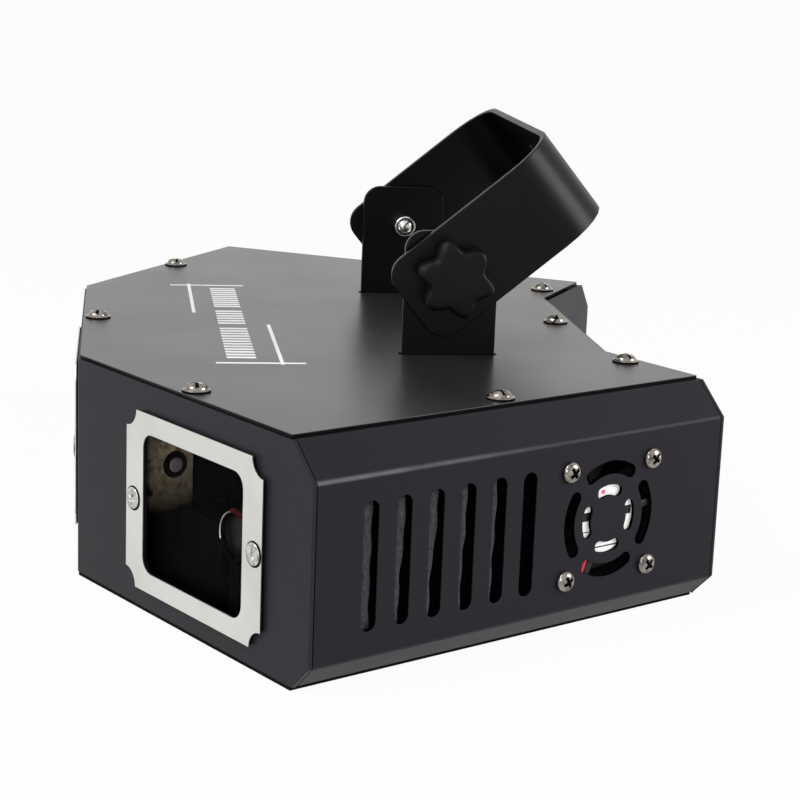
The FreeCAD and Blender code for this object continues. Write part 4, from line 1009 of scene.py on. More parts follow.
@dataclass
class Case:
    """The folded steel case and its cover."""

    plan: Plan = PLAN
    bend: float = 1.9
    opening: Three = (55.5, 45.0, 6.4)
    cover_insets: Three = (0.6, 1.1, 1.9)
    slot_steps: int = 10
    grille_inner: Three = (6.9, 10.2, 32.5)
    grille_outer: Three = (13.3, 17.3, 38.0)
    post_slot: Three = (3.6, 30.6, 0.8)
    post_middle: float = 53.5
    inlet_hole: Two = (27.0, 20.0)
    switch_hole: Two = (12.6, 19.0)
    display_hole: Two = (30.4, 13.4)
    hole_corner: float = 0.4
    socket_drill: float = 11.2
    button_drill: float = 2.75
    back_cut: float = 8.0
    print_bars: tuple[Four, ...] = (
        (-63.9, 30.3, -62.1, 56.5), (-65.6, 36.35, -9.9, 37.5), (68.5, 40.6, 70.3, 67.5),
        (9.8, 59.85, 71.3, 61.0),
    )
    word_bars: Pairs = ((-58.0, -20.0), (-15.0, 10.0), (15.0, 63.5))
    stripe_span: Two = (44.2, 53.1)
    stripe_pitch: float = 4.0
    stripe: float = 2.3
    ink: float = 0.03
    ink_step: float = 0.01
    ink_sunk: float = 0.02

    def build(self) -> None:
        """Make every panel."""
        self.make_print()
        self.make_cover()
        self.make_front()
        self.make_sides()
        self.make_back()
        # The base plate's near-black is painted shade along its edge under the panels.
        dress_node("base_plate", BASE_PAINT)
        dress_node("base_screws", SCREW_METAL)

    def outline(self, front: float, side: float, back: float) -> Points:
        """Plan of the case drawn in by three insets.

        Args:
            front: Inset of the nose and the facets.
            side: Inset of the sides.
            back: Inset of the ears and the recess.

        Returns:
            The plan's points, the right half first.
        """
        plan = self.plan
        half = tan(radians(plan.angle / 2))
        recess = plan.point(plan.ear_place, 0, 0)
        right = [
            (plan.nose / 2 - front * half, plan.nose_y + front),
            plan.point(plan.side_place, -side, front),
            plan.point(plan.side_place, -side, plan.side - back),
            (recess[0] + back * half, recess[1] - back),
        ]
        return right + [(-x, y) for x, y in reversed(right)]

    def make_cover(self) -> None:
        """The flat top with its two post slots."""
        plan = self.plan
        front, side, back = self.cover_insets
        sheet = flat_sheet(self.outline(front, plan.top_bevel + side, back), plan.height)
        y = plan.nose_y + plan.pivot_setback
        wide, long, corner = self.post_slot
        cutters = []
        for sign in (-1, 1):
            hole = rounded_prism(wide, long, corner, CUT)
            lying = move(sign * self.post_middle, y, plan.height) @ turn(90, "X")
            cutters.append(placed(hole, lying))
        finished(sheet, "cover_plate", COVER_PAINT, "case", ["top_cover"],
                 Worked(plan.sheet, cutters, edge=0.1))

    def make_print(self) -> None:
        """Thin lines and plain bars printed on the cover."""
        bars = list(self.print_bars)
        low, high = self.stripe_span
        for start, end in self.word_bars:
            count = round((end - start) / self.stripe_pitch)
            for step in range(count):
                spot = start + (end - start) * (step + 0.5) / count
                bars.append((spot - self.stripe / 2, low, spot + self.stripe / 2, high))
        parts = []
        y = self.plan.nose_y
        top = self.plan.height
        for index, (x0, y0, x1, y1) in enumerate(bars):
            crown = top + self.ink + self.ink_step * (index % 2)
            parts.append(solid_box((x0, y0 + y, top - self.ink_sunk), (x1, y1 + y, crown)))
        finished(join(parts), "cover_print", INK, "case")

    def make_front(self) -> None:
        """The nose and its two facets, with their windows."""
        plan = self.plan
        half = plan.nose / 2
        end = plan.point(plan.facet_place, plan.facet, 0)
        path = [
            vec(-end[0], end[1], plan.sheet), vec(-half, plan.nose_y, plan.sheet),
            vec(half, plan.nose_y, plan.sheet), vec(*end, plan.sheet),
        ]
        sheet = fold_sheet(path, vec(0, 0, plan.cover_under - plan.sheet), self.bend, -Y)
        wide, tall, radius = self.opening
        cutters = []
        for name in HEADS:
            place = plan.head_place(name) @ move(0, 0, plan.window_level)
            cutters.append(placed(rounded_prism(wide, tall, radius, CUT), place))
        for mirror in (Matrix.Identity(4), MIRROR):
            cutters += self.corner_cutters(mirror @ plan.facet_place @ move(plan.facet, 0, 0))
        finished(sheet, "front_sheet", CASE_PAINT, "case", ["front_panel"],
                 Worked(plan.sheet, cutters, edge=0.25))

    def make_sides(self) -> None:
        """The right side with its vents and its fan grille, and its left twin."""
        plan = self.plan
        start = plan.sheet + plan.seam
        top = plan.cover_under
        section = [
            (-plan.top_bevel - plan.flange, top), (-plan.top_bevel, top), (0, top - plan.top_bevel),
            (0, plan.sheet + plan.low_bevel), (-plan.low_bevel, plan.sheet),
            (-plan.low_bevel - plan.flange, plan.sheet),
        ]
        path = [vec(x, start, z) for x, z in section]
        sheet = fold_sheet(path, vec(0, plan.side - 2 * start, 0), self.bend, X)
        cutters = []
        wide, tall = plan.slot_size
        for step in range(plan.slot_count):
            along = plan.slot_first + plan.slot_pitch * step
            slot = rounded_prism(wide, tall, wide / 2, CUT, self.slot_steps)
            cutters.append(placed(slot, move(0, along, plan.vent_level) @ turn(90, "Z")))
        fan = move(0, plan.fan_along, plan.vent_level)
        for low, high, half in (self.grille_inner, self.grille_outer):
            for middle in (0, 90, 180, 270):
                cutters.append(placed(arc_slot(low, high, middle, half, CUT), fan))
        paint = replace(SIDE_PAINT, fold=top - plan.top_bevel, lean=plan.angle, face=plan.wall_face,
                        slots_middle=plan.vent_level)
        pair(sheet, "side_sheet", paint, "case", "*_side_panel",
             Worked(plan.sheet, cutters, edge=0.2), plan.side_place)

    def make_back(self) -> None:
        """The recessed back between its two ears, with the fittings' holes."""
        plan = self.plan
        end = plan.point(plan.ear_place, plan.ear, 0)
        inner = plan.point(plan.ear_place, 0, 0)
        low = plan.sheet
        path = [
            vec(-end[0], end[1], low), vec(-inner[0], inner[1], low), vec(*inner, low), vec(*end, low),
        ]
        sheet = fold_sheet(path, vec(0, 0, plan.cover_under - low), self.bend, Y)
        y = inner[1]
        cutters = []
        holes = (
            (plan.inlet, self.inlet_hole), (plan.switch, self.switch_hole),
            (plan.display, self.display_hole),
        )
        for (across, level), (wide, tall) in holes:
            hole = rounded_prism(wide, tall, self.hole_corner, self.back_cut, EDGE_STEPS)
            cutters.append(placed(hole, move(across, y, level)))
        drills = [(across, plan.socket_level, self.socket_drill) for across in plan.sockets]
        drills += [(across, plan.switch[1], self.button_drill) for across in plan.buttons]
        for across, level, radius in drills:
            cutters.append(turned_rod((across, y - self.back_cut / 2, level), "y", radius, self.back_cut))
        for mirror in (Matrix.Identity(4), MIRROR):
            spot = mirror @ plan.ear_place @ move(plan.ear, 0, 0)
            cutters += self.corner_cutters(spot)
        finished(sheet, "back_sheet", CASE_PAINT, "case", ["back_panel"],
                 Worked(plan.sheet, cutters, edge=0.25))

    def corner_cutters(self, end: Matrix) -> list[Mesh]:
        """What takes a panel's end down to the side's bevelled section.

        Args:
            end: The frame at the panel's end, x along the panel.

        Returns:
            The two cutters.
        """
        plan = self.plan
        found = []
        for level, bevel in ((plan.cover_under, plan.top_bevel), (plan.sheet, plan.low_bevel)):
            half = bevel / sqrt(2)
            corner = solid_box((-half, -CUT / 2, -half), (half, CUT / 2, half))
            found.append(placed(corner, end @ move(0, 0, level) @ turn(45, "Y")))
        return found


@dataclass
class Windows:
    """The plates, gaskets and panes of the three windows."""

    plan: Plan = PLAN
    size: Two = (70.0, 53.0)
    scoop: float = 5.3
    opening: Three = (51.7, 41.2, 4.5)
    plate: float = 0.5
    gasket: float = 1.0
    gasket_lip: float = 0.4
    gasket_open: float = 1.9
    cut: float = 6.0

    def build(self) -> None:
        """Make the plates and the gaskets, and dress the panes."""
        for name in HEADS:
            place = self.plan.head_place(name) @ move(0, 0, self.plan.window_level)
            proud = self.gasket + self.plate
            block, cutters = self.outline(0.0, 0.0, -proud, -self.gasket)
            finished(block, f"{name}_frame_plate", FRAME_METAL, "case", [f"{name}_window_frame"],
                     Worked(0, cutters, edge=0.12), place)
            rubber, cutters = self.outline(self.gasket_lip, self.gasket_open, -self.gasket, 0.0)
            piece = raw_object(rubber, f"{name}_gasket_sheet")
            Worked(0, cutters, edge=0.05, edge_steps=1).apply(piece)
            piece.data.transform(place)
            registered(piece, BLACK_RUBBER_AND_SHADE, "case", ["window_gaskets"])
            dress_node(f"{name}_window_glass", PANE)

    def outline(self, lip: float, wider: float, near: float, far: float) -> tuple[Mesh, list[Mesh]]:
        """A plate about the window's middle with what is cut from it.

        Args:
            lip: How far its edges are drawn in.
            wider: How far its opening stands back from the plate's own.
            near: Its outer face, along y.
            far: Its inner face.

        Returns:
            The block and its cutters.
        """
        wide, tall = self.size
        x = wide / 2 - lip
        z = tall / 2 - lip
        cutters = []
        for sx in (-1, 1):
            for sz in (-1, 1):
                deep = self.cut / 2
                scoop = lathe([(0, -deep), (self.scoop, -deep), (self.scoop, deep), (0, deep)], ROD_STEPS)
                cutters.append(placed(scoop, move(sx * x, 0, sz * z) @ turn(90, "X")))
        open_wide, open_tall, radius = self.opening
        hole = (open_wide + 2 * wider, open_tall + 2 * wider, radius + wider)
        cutters.append(rounded_prism(*hole, self.cut))
        return solid_box((-x, near, -z), (x, far, z)), cutters


@dataclass
class Fasteners:
    """The screws that show: domed heads on the case and low heads on the window plates.

    A cross is the width and length of its arms, and a turn is in degrees. A point of the low slope
    is its inset from the rim and its share of the height.
    """

    plan: Plan = PLAN
    radius: float = 3.2
    height: float = 2.2
    pan_rise: float = 0.35
    pan_flat: float = 0.8
    cross: Two = (1.15, 3.7)
    cross_deep: float = 1.1
    shank: Two = (1.5, 4.0)
    collar: float = 4.1
    collar_height: float = 2.5
    collar_soft: float = 0.1
    crown_rise: float = 0.5
    foot: float = 0.42
    core_shrink: float = 0.22
    fine_cross: Two = (1.0, 5.8)
    fine_deep: float = 1.7
    low_radius: float = 3.2
    low_height: float = 0.5
    low_slope: Pairs = ((0.0, 0.4), (0.2, 0.65), (1.0, 0.95))
    low_cross: Two = (0.7, 2.8)
    low_cross_deep: float = 0.25
    second_arm: float = 0.97
    arm_over: float = 1.0
    recess_edge: float = 0.06
    recess_slack: float = 0.04
    floor_share: float = 0.6
    floor_sunk: float = 0.05
    floor_step: float = 0.01
    smooth_below: float = 50.0
    shade_ring: Three = (3.65, 0.15, 0.05)
    shade_ring_shift: float = 0.3
    frame_half: float = 31.2
    frame_proud: float = 1.5
    frame_turn: float = 30.0
    fan_turn: float = 40.0
    cover_setback: float = 5.3
    cover_back: float = 7.6
    cover_side: float = 15.9
    cover_turns: Two = (-6.0, 4.0)
    ear_along: float = 35.5
    facet_along: float = 57.8
    socket_half: Two = (9.5, 12.0)
    socket_proud: float = 2.0
    socket_turn: float = 25.0

    def build(self) -> None:
        """Make each set of screws."""
        sets = (
            ("cover_screw", self.collar_head(), self.fine_cross, self.fine_deep, self.cover_places()),
            ("fan_screw", self.pan_head(), self.cross, self.cross_deep, self.fan_places()),
            ("socket_screw", self.pan_head(), self.cross, self.cross_deep, self.socket_places()),
        )
        for name, head, cross, deep, places in sets:
            self.spread(self.pattern(head, cross, deep), f"{name}_heads", f"{name}s", places, SCREW_METAL)
            # The black in the recesses and under the collars is painted shade.
            if name == "cover_screw":
                dark = self.dark_core()
            else:
                dark = self.recess_floor(head[-1][1], cross, deep)
            self.spread(dark, f"{name}_recesses", f"{name}s", places, BLACK_AND_PAINTED_SHADE)
        low = self.pattern(self.low_head(), self.low_cross, self.low_cross_deep)
        self.spread(low, "frame_screw_heads", "frame_screws", self.frame_places(0.0, self.frame_turn),
                    PLATE_SCREW)
        self.make_shade_rings()

    def make_shade_rings(self) -> None:
        """Black rings that peep out beside the window plates' screws: painted shade in the gap round each
        head.
        """
        radius, height, edge = self.shade_ring
        section = [(0, 0), (radius, 0), (radius, height - edge), (radius - edge, height), (0, height)]
        places = self.frame_places(self.shade_ring_shift, 0.0)
        rings = [placed(lathe(section, ROD_STEPS), place) for place in places]
        finished(join(rings), "frame_screw_shade_rings", BLACK_RUBBER_AND_SHADE, "case")

    def cover_places(self) -> list[Matrix]:
        """Where the cover's screws stand.

        Returns:
            A frame for each, z out of the cover.
        """
        plan = self.plan
        spots = [(0.0, plan.nose_y + self.cover_setback), (0.0, plan.recess_y - self.cover_back)]
        pairs = (
            plan.point(plan.facet_place, self.facet_along, self.cover_setback),
            plan.point(plan.side_place, -self.cover_side, plan.side / 2),
            plan.point(plan.side_place, -self.ear_along, plan.side - self.cover_back),
        )
        for x, y in pairs:
            spots += [(x, y), (-x, y)]
        first, step = self.cover_turns
        places = []
        for index, (x, y) in enumerate(spots):
            places.append(move(x, y, plan.height) @ turn(first + step * index, "Z"))
        return places

    def frame_places(self, shift: float, degrees: float) -> list[Matrix]:
        """Where the window plates' screws stand.

        Args:
            shift: How far they are moved along the plates.
            degrees: How far the right ones are turned, and the left ones the other way.

        Returns:
            A frame for each, z out of the plate.
        """
        places = []
        for name in HEADS:
            for side in (-1, 1):
                spot = move(side * self.frame_half + shift, -self.frame_proud, self.plan.window_level)
                places.append(self.plan.head_place(name) @ spot @ turn(90, "X") @ turn(degrees * side, "Z"))
        return places

    def fan_places(self) -> list[Matrix]:
        """Where the fans' screws stand, each turned a little differently.

        Returns:
            A frame for each, z out of the wall.
        """
        places = []
        half = self.plan.fan_pitch / 2
        for a in (-half, half):
            for b in (-half, half):
                spot = self.plan.side_place @ move(0, self.plan.fan_along + a, self.plan.vent_level + b)
                place = spot @ turn(90, "Y") @ turn(a / 2 + b / 4 + self.fan_turn, "Z")
                places += [place, MIRROR @ place]
        return places

    def socket_places(self) -> list[Matrix]:
        """Where the data sockets' screws stand.

        Returns:
            A frame for each, z out of the back.
        """
        plan = self.plan
        places = []
        x, z = self.socket_half
        for across in plan.sockets:
            for side in (-1, 1):
                level = plan.socket_level + z * side
                spot = move(across + x * side, plan.recess_y + self.socket_proud, level)
                places.append(spot @ turn(-90, "X") @ turn(self.socket_turn * side, "Z"))
        return places

    def dome(self, low: float, high: float, flat: float) -> Points:
        """The rounded part of a head.

        Args:
            low: Where it starts.
            high: Where its crown is.
            flat: A power; a smaller one makes it flatter.

        Returns:
            Its section, the crown last.
        """
        steps = 8
        points = []
        for step in range(steps):
            rise = radians(90 * step / steps)
            points.append((self.radius * cos(rise) ** flat, low + (high - low) * sin(rise)))
        return points + [(0.0, high)]

    def collar_head(self) -> Points:
        """A domed head on a washer collar.

        Returns:
            Its section, the crown last.
        """
        rim = self.collar
        low = self.foot
        soft = self.collar_soft
        flare = [
            (rim - soft, low - soft / 2), (rim, low + soft), (rim - soft, low + 2 * soft),
            (self.radius + 1.5 * soft, low + 4 * soft),
        ]
        return flare + self.dome(low + self.crown_rise, self.collar_height, 1.0)

    def pan_head(self) -> Points:
        """The section of a plain domed head."""
        return [(self.radius, 0)] + self.dome(self.pan_rise, self.height, self.pan_flat)

    def low_head(self) -> Points:
        """A low head, nearly flush.

        Returns:
            Its section, the crown last.
        """
        r = self.low_radius
        h = self.low_height
        return [(r, 0), *((r - inset, h * share) for inset, share in self.low_slope), (0, h)]

    def arms(self, cross: Two, low: Two, high: Two) -> list[Mesh]:
        """The two crossed bars of a recess.

        Args:
            cross: The width and the length of each.
            low: Where each starts.
            high: Where each ends.

        Returns:
            The bars.
        """
        x = cross[1] / 2
        y = cross[0] / 2
        return [
            solid_box((-x, -y, low[0]), (x, y, high[0])),
            solid_box((-y, -x, low[1]), (y, x, high[1])),
        ]

    def pattern(self, head: Points, cross: Two, deep: float) -> Piece:
        """One screw, its head standing on z = 0.

        Args:
            head: Its head's section.
            cross: The width and the length of its cross.
            deep: How deep its cross goes.

        Returns:
            A loose object to copy from.
        """
        top = head[-1][1]
        radius, length = self.shank
        section = [(0, -length), (radius, -length), (radius, 0)] + head
        screw = raw_object(lathe(section, ROD_STEPS), "screw_pattern")
        screw.data.shade_smooth()
        screw.data.set_sharp_from_angle(angle=radians(self.smooth_below))
        floors = (top - deep, top - deep * self.second_arm)
        over = top + self.arm_over
        for arm in self.arms(cross, floors, (over, over)):
            Worked(0, [arm], edge=0.0).apply(screw)
        Worked(0, [], self.recess_edge, 1).apply(screw)
        return screw

    def dark_core(self) -> Piece:
        """The black foot of a collar head and the core in its slits, as painted shade.

        Returns:
            A loose object to copy from.
        """
        shrink = self.core_shrink
        share = 1 - shrink / self.radius
        crown = self.dome(self.foot + self.crown_rise - shrink, self.collar_height - shrink, 1.0)
        foot = [(0.0, 0.0), (self.collar, 0.0), (self.collar, self.foot), (self.radius * share, self.foot)]
        section = foot + [(r * share, z) for r, z in crown]
        return raw_object(lathe(section, ROD_STEPS), "screw_pattern_core")

    def recess_floor(self, top: float, cross: Two, deep: float) -> Piece:
        """A black floor in a cross recess, as painted shade.

        Args:
            top: The head's height.
            cross: The width and the length of the cross.
            deep: How deep it goes.

        Returns:
            A loose object to copy from.
        """
        inner = (cross[0] - self.recess_slack, cross[1] - self.recess_slack)
        low = top - deep - self.floor_sunk
        high = top - deep * self.floor_share
        bars = self.arms(inner, (low, low), (high, high - self.floor_step))
        return raw_object(join(bars), "screw_pattern_floor")

    def spread(self, pattern: Piece, name: str, node: str, places: list[Matrix], finish: Finish) -> None:
        """Copy a screw to many places as one piece.

        Args:
            pattern: The screw to copy.
            name: The piece's name.
            node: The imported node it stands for.
            places: Where the copies go.
            finish: Its finish.
        """
        copies = []
        for place in places:
            bm = bmesh.new()
            bm.from_mesh(pattern.data)
            copies.append(placed(bm, place))
        finished(join(copies), name, finish, "case", [node])


@dataclass
class Fan:
    """The side fans: housing, motor plate with its label, blades and lead.

    Bars of the label are given by two corners on the motor plate.
    """

    plan: Plan = PLAN
    size: float = 40.0
    corner: float = 2.5
    depth: float = 10.0
    bore: float = 18.6
    screw_bore: float = 1.55
    hub: float = 10.5
    pin: float = 0.01
    edge: float = 0.3
    over: float = 1.0
    stator: float = 1.6
    strut: float = 2.2
    strut_sunk: Two = (0.4, 0.6)
    strut_turns: tuple[float, ...] = (-22.0, 98.0, 218.0)
    label_inset: float = 0.3
    band_short: float = 0.05
    label_thick: float = 0.06
    ink: Two = (0.05, 0.09)
    label_band: Two = (0.0, 2.6)
    label_bars: tuple[Four, ...] = ((-5.0, -8.6, 5.0, -8.2), (-9.4, -3.4, -6.6, -3.1))
    label_marks: tuple[Four, ...] = ((-4.9, 7.0, -3.4, 8.2), (-2.4, 7.4, -0.9, 8.6))
    gap: float = 0.8
    cup_inset: float = 0.4
    cup_wall: float = 1.0
    cup_edge: float = 0.6
    blades: int = 7
    blade: float = 0.8
    blade_steps: int = 6
    blade_root: float = 0.3
    blade_sweep: float = 34.0
    blade_curl: float = 0.22
    blade_share: float = 0.42
    blade_camber: float = 0.18
    lead: float = 0.75
    lead_ends: Two = (0.6, 0.3)
    lead_bow: Three = (0.9, 0.1, 15.0)

    @property
    def place(self) -> Matrix:
        """The right fan's frame: x outward from the inner face of the wall, on its axis."""
        return self.plan.side_place @ move(-self.plan.sheet, self.plan.fan_along, self.plan.vent_level)

    def build(self) -> None:
        """Make the right fan and its left twin."""
        self.make_housing()
        self.make_rotor()
        self.make_label()
        self.make_lead()

    def make_housing(self) -> None:
        """The square housing with its struts and its motor plate."""
        shell = rounded_prism(self.size, self.size, self.corner, self.depth)
        start = -self.depth - self.over
        through = self.depth + 2 * self.over
        half = self.plan.fan_pitch / 2
        cutters = [turned_rod((start, 0, 0), "x", self.bore, through)]
        for a in (-half, half):
            for b in (-half, half):
                cutters.append(turned_rod((start, a, b), "x", self.screw_bore, through))
        block = raw_object(placed(shell, move(-self.depth / 2, 0, 0) @ turn(90, "Z")), "housing")
        Worked(0, cutters, self.edge).apply(block)
        housing = bmesh.new()
        housing.from_mesh(block.data)
        bpy.data.meshes.remove(block.data)
        motor = lathe(ring_profile(self.pin, self.hub, -self.stator, 0, self.edge))
        parts = [housing, placed(motor, turn(90, "Y"))]
        across = self.strut / 2
        low = -self.bore - self.strut_sunk[0]
        high = -self.hub + self.strut_sunk[1]
        for degrees in self.strut_turns:
            bar = solid_box((-self.stator, -across, low), (0, across, high), self.edge)
            parts.append(placed(bar, turn(degrees, "X")))
        pair(join(parts), "fan_housing", MOULDED_BLACK, "case", "*_fan_frame",
             place=self.place)

    def make_label(self) -> None:
        """A paper disc with plain bars on the motor plate."""
        thick = self.label_thick
        disc = lathe(ring_profile(self.pin, self.hub - self.label_inset, -thick, 0.0, thick / 3))
        pair(placed(disc, turn(90, "Y") @ move(0, 0, thick)), "fan_label", LABEL_PAPER, "case",
             place=self.place)
        low, high = self.label_band
        reach = sqrt((self.hub - self.label_inset - self.band_short) ** 2 - high ** 2)
        bars = ((-reach, low, reach, high), *self.label_bars)
        for name, ink, shapes in (("bars", MOULDED_BLACK, bars), ("mark", PINK_INK, self.label_marks)):
            near, far = self.ink
            boxes = [solid_box((near, y0, z0), (far, y1, z1)) for y0, z0, y1, z1 in shapes]
            pair(join(boxes), f"fan_label_{name}", ink, "case", place=self.place)

    def make_rotor(self) -> None:
        """The cup with its curved blades."""
        front = -self.stator - self.gap
        back = -self.depth + self.gap
        radius = self.hub - self.cup_inset
        inner = radius - self.cup_wall
        edge = self.cup_edge
        section = [
            (0, back), (radius - edge, back), (radius, back + edge), (radius, front), (inner, front),
            (inner, back + self.cup_wall), (0, back + self.cup_wall),
        ]
        parts = [placed(lathe(section), turn(90, "Y"))]
        root = radius - self.blade_root
        span = self.bore - self.gap - root
        for step in range(self.blades):
            blade = bmesh.new()
            ops.create_grid(blade, x_segments=self.blade_steps, y_segments=self.blade_steps, size=0.5)
            for vert in blade.verts:
                chord = vert.co.x
                out = vert.co.y + 0.5
                r = root + span * out
                sweep = radians(self.blade_sweep) * chord + self.blade_curl * out * out
                bow = chord + self.blade_camber * (1 - 4 * chord * chord)
                x = (front + back) / 2 + (back - front) * self.blade_share * bow
                vert.co = vec(x, r * sin(sweep), r * cos(sweep))
            ops.recalc_face_normals(blade, faces=blade.faces)
            ops.solidify(blade, geom=blade.faces[:], thickness=self.blade * MM)
            parts.append(placed(blade, turn(360 / self.blades * step, "X")))
        pair(join(parts), "fan_blades", MOULDED_BLACK, "*_rotor", "*_fan_rotor",
             place=self.place, shade=Shade.SOFT)

    def make_lead(self) -> None:
        """The red lead beside a strut of the right fan."""
        beside = -self.strut / 2 - self.lead
        outer, inner = self.lead_ends
        share, aside, down = self.lead_bow
        points = [
            (-self.lead, beside, -self.bore + outer), (-self.lead * share, beside - aside, -down),
            (-self.lead, beside, -self.hub - inner),
        ]
        wire = placed(wire_tube(points, self.lead), turn(self.strut_turns[0], "X"))
        finished(wire, "right_lead_wire", RED_SLEEVE, "case", ["right_fan_lead"],
                 place=self.place)


@dataclass
class VentFilter:
    """The foam sheets behind the vent slots: a black backing, painted shade where the slots show only
    shadow, with foam that swells into the slots.

    A lobe is how far the foam reaches past its slot's middle, in the upper and the lower half.
    """

    plan: Plan = PLAN
    lap: float = 3.0
    backing: float = 2.6
    backing_sheet: float = 0.4
    skin: float = 0.35
    over: float = 1.5
    start: float = -3.4
    lobes: Pairs = ((2.4, 2.2), (2.4, 0.9), (2.5, 0.4), (1.5, 0.4), (1.1, 0.3))
    grid: tuple[int, int] = (16, 60)
    change: float = 14.0
    wave: float = 0.25
    wave_count: float = 23.0
    wave_shift: float = 2.3
    side_fall: int = 12
    end_fall: int = 20
    sunk: float = 0.1

    def build(self) -> None:
        """Make the right backing and its bulges, and their left twins."""
        plan = self.plan
        wide, tall = plan.slot_size
        start = plan.slot_first - wide / 2 - self.lap
        end = plan.slot_first + plan.slot_pitch * (plan.slot_count - 1) + wide / 2 + self.lap
        half = tall / 2 + self.lap
        near = -plan.sheet - self.backing
        # The black backing is painted shade deep in the slots.
        sheet = solid_box((near - self.backing_sheet, start, plan.vent_level - half),
                          (near, end, plan.vent_level + half), round_off=0.1)
        pair(sheet, "filter_shade_backing", BLACK_AND_PAINTED_SHADE, "case", "*_vent_filter", place=plan.side_place)
        bulges = [self.bulge(index, *edges) for index, edges in enumerate(self.lobes)]
        pair(join(bulges), "filter_foam", FOAM, "case", "*_vent_filter", place=plan.side_place,
             shade=Shade.SOFT)

    def bulge(self, index: int, upper: float, lower: float) -> Mesh:
        """Foam that swells into one slot and falls back to the backing.

        Args:
            index: Which slot it fills, counted from the front.
            upper: How far it reaches past the slot's middle in the upper half.
            lower: The same in the lower half.

        Returns:
            A closed mesh in the side wall's frame.
        """
        plan = self.plan
        middle = plan.slot_first + plan.slot_pitch * index
        tall = plan.slot_size[1] / 2 + self.over
        bm = bmesh.new()
        ops.create_grid(bm, x_segments=self.grid[0], y_segments=self.grid[1], size=0.5)
        for vert in bm.verts:
            u = vert.co.x + 0.5
            v = vert.co.y + 0.5
            blend = 1 / (1 + exp(-(v - 0.5) * self.change))
            ripple = self.wave * sin(self.wave_count * v + self.wave_shift * index)
            edge = lower + (upper - lower) * blend + ripple
            across = self.start + (edge - self.start) * u
            fall = max(u ** self.side_fall, abs(2 * v - 1) ** self.end_fall)
            depth = plan.sheet + self.skin + (self.backing - self.skin) * fall
            vert.co = vec(-depth, middle + across, plan.vent_level + tall * (2 * v - 1))
        for vert in new_verts(ops.extrude_face_region(bm, geom=list(bm.faces))["geom"]):
            vert.co.x = -(plan.sheet + self.backing + self.sunk) * MM
        ops.recalc_face_normals(bm, faces=bm.faces)
        return bm


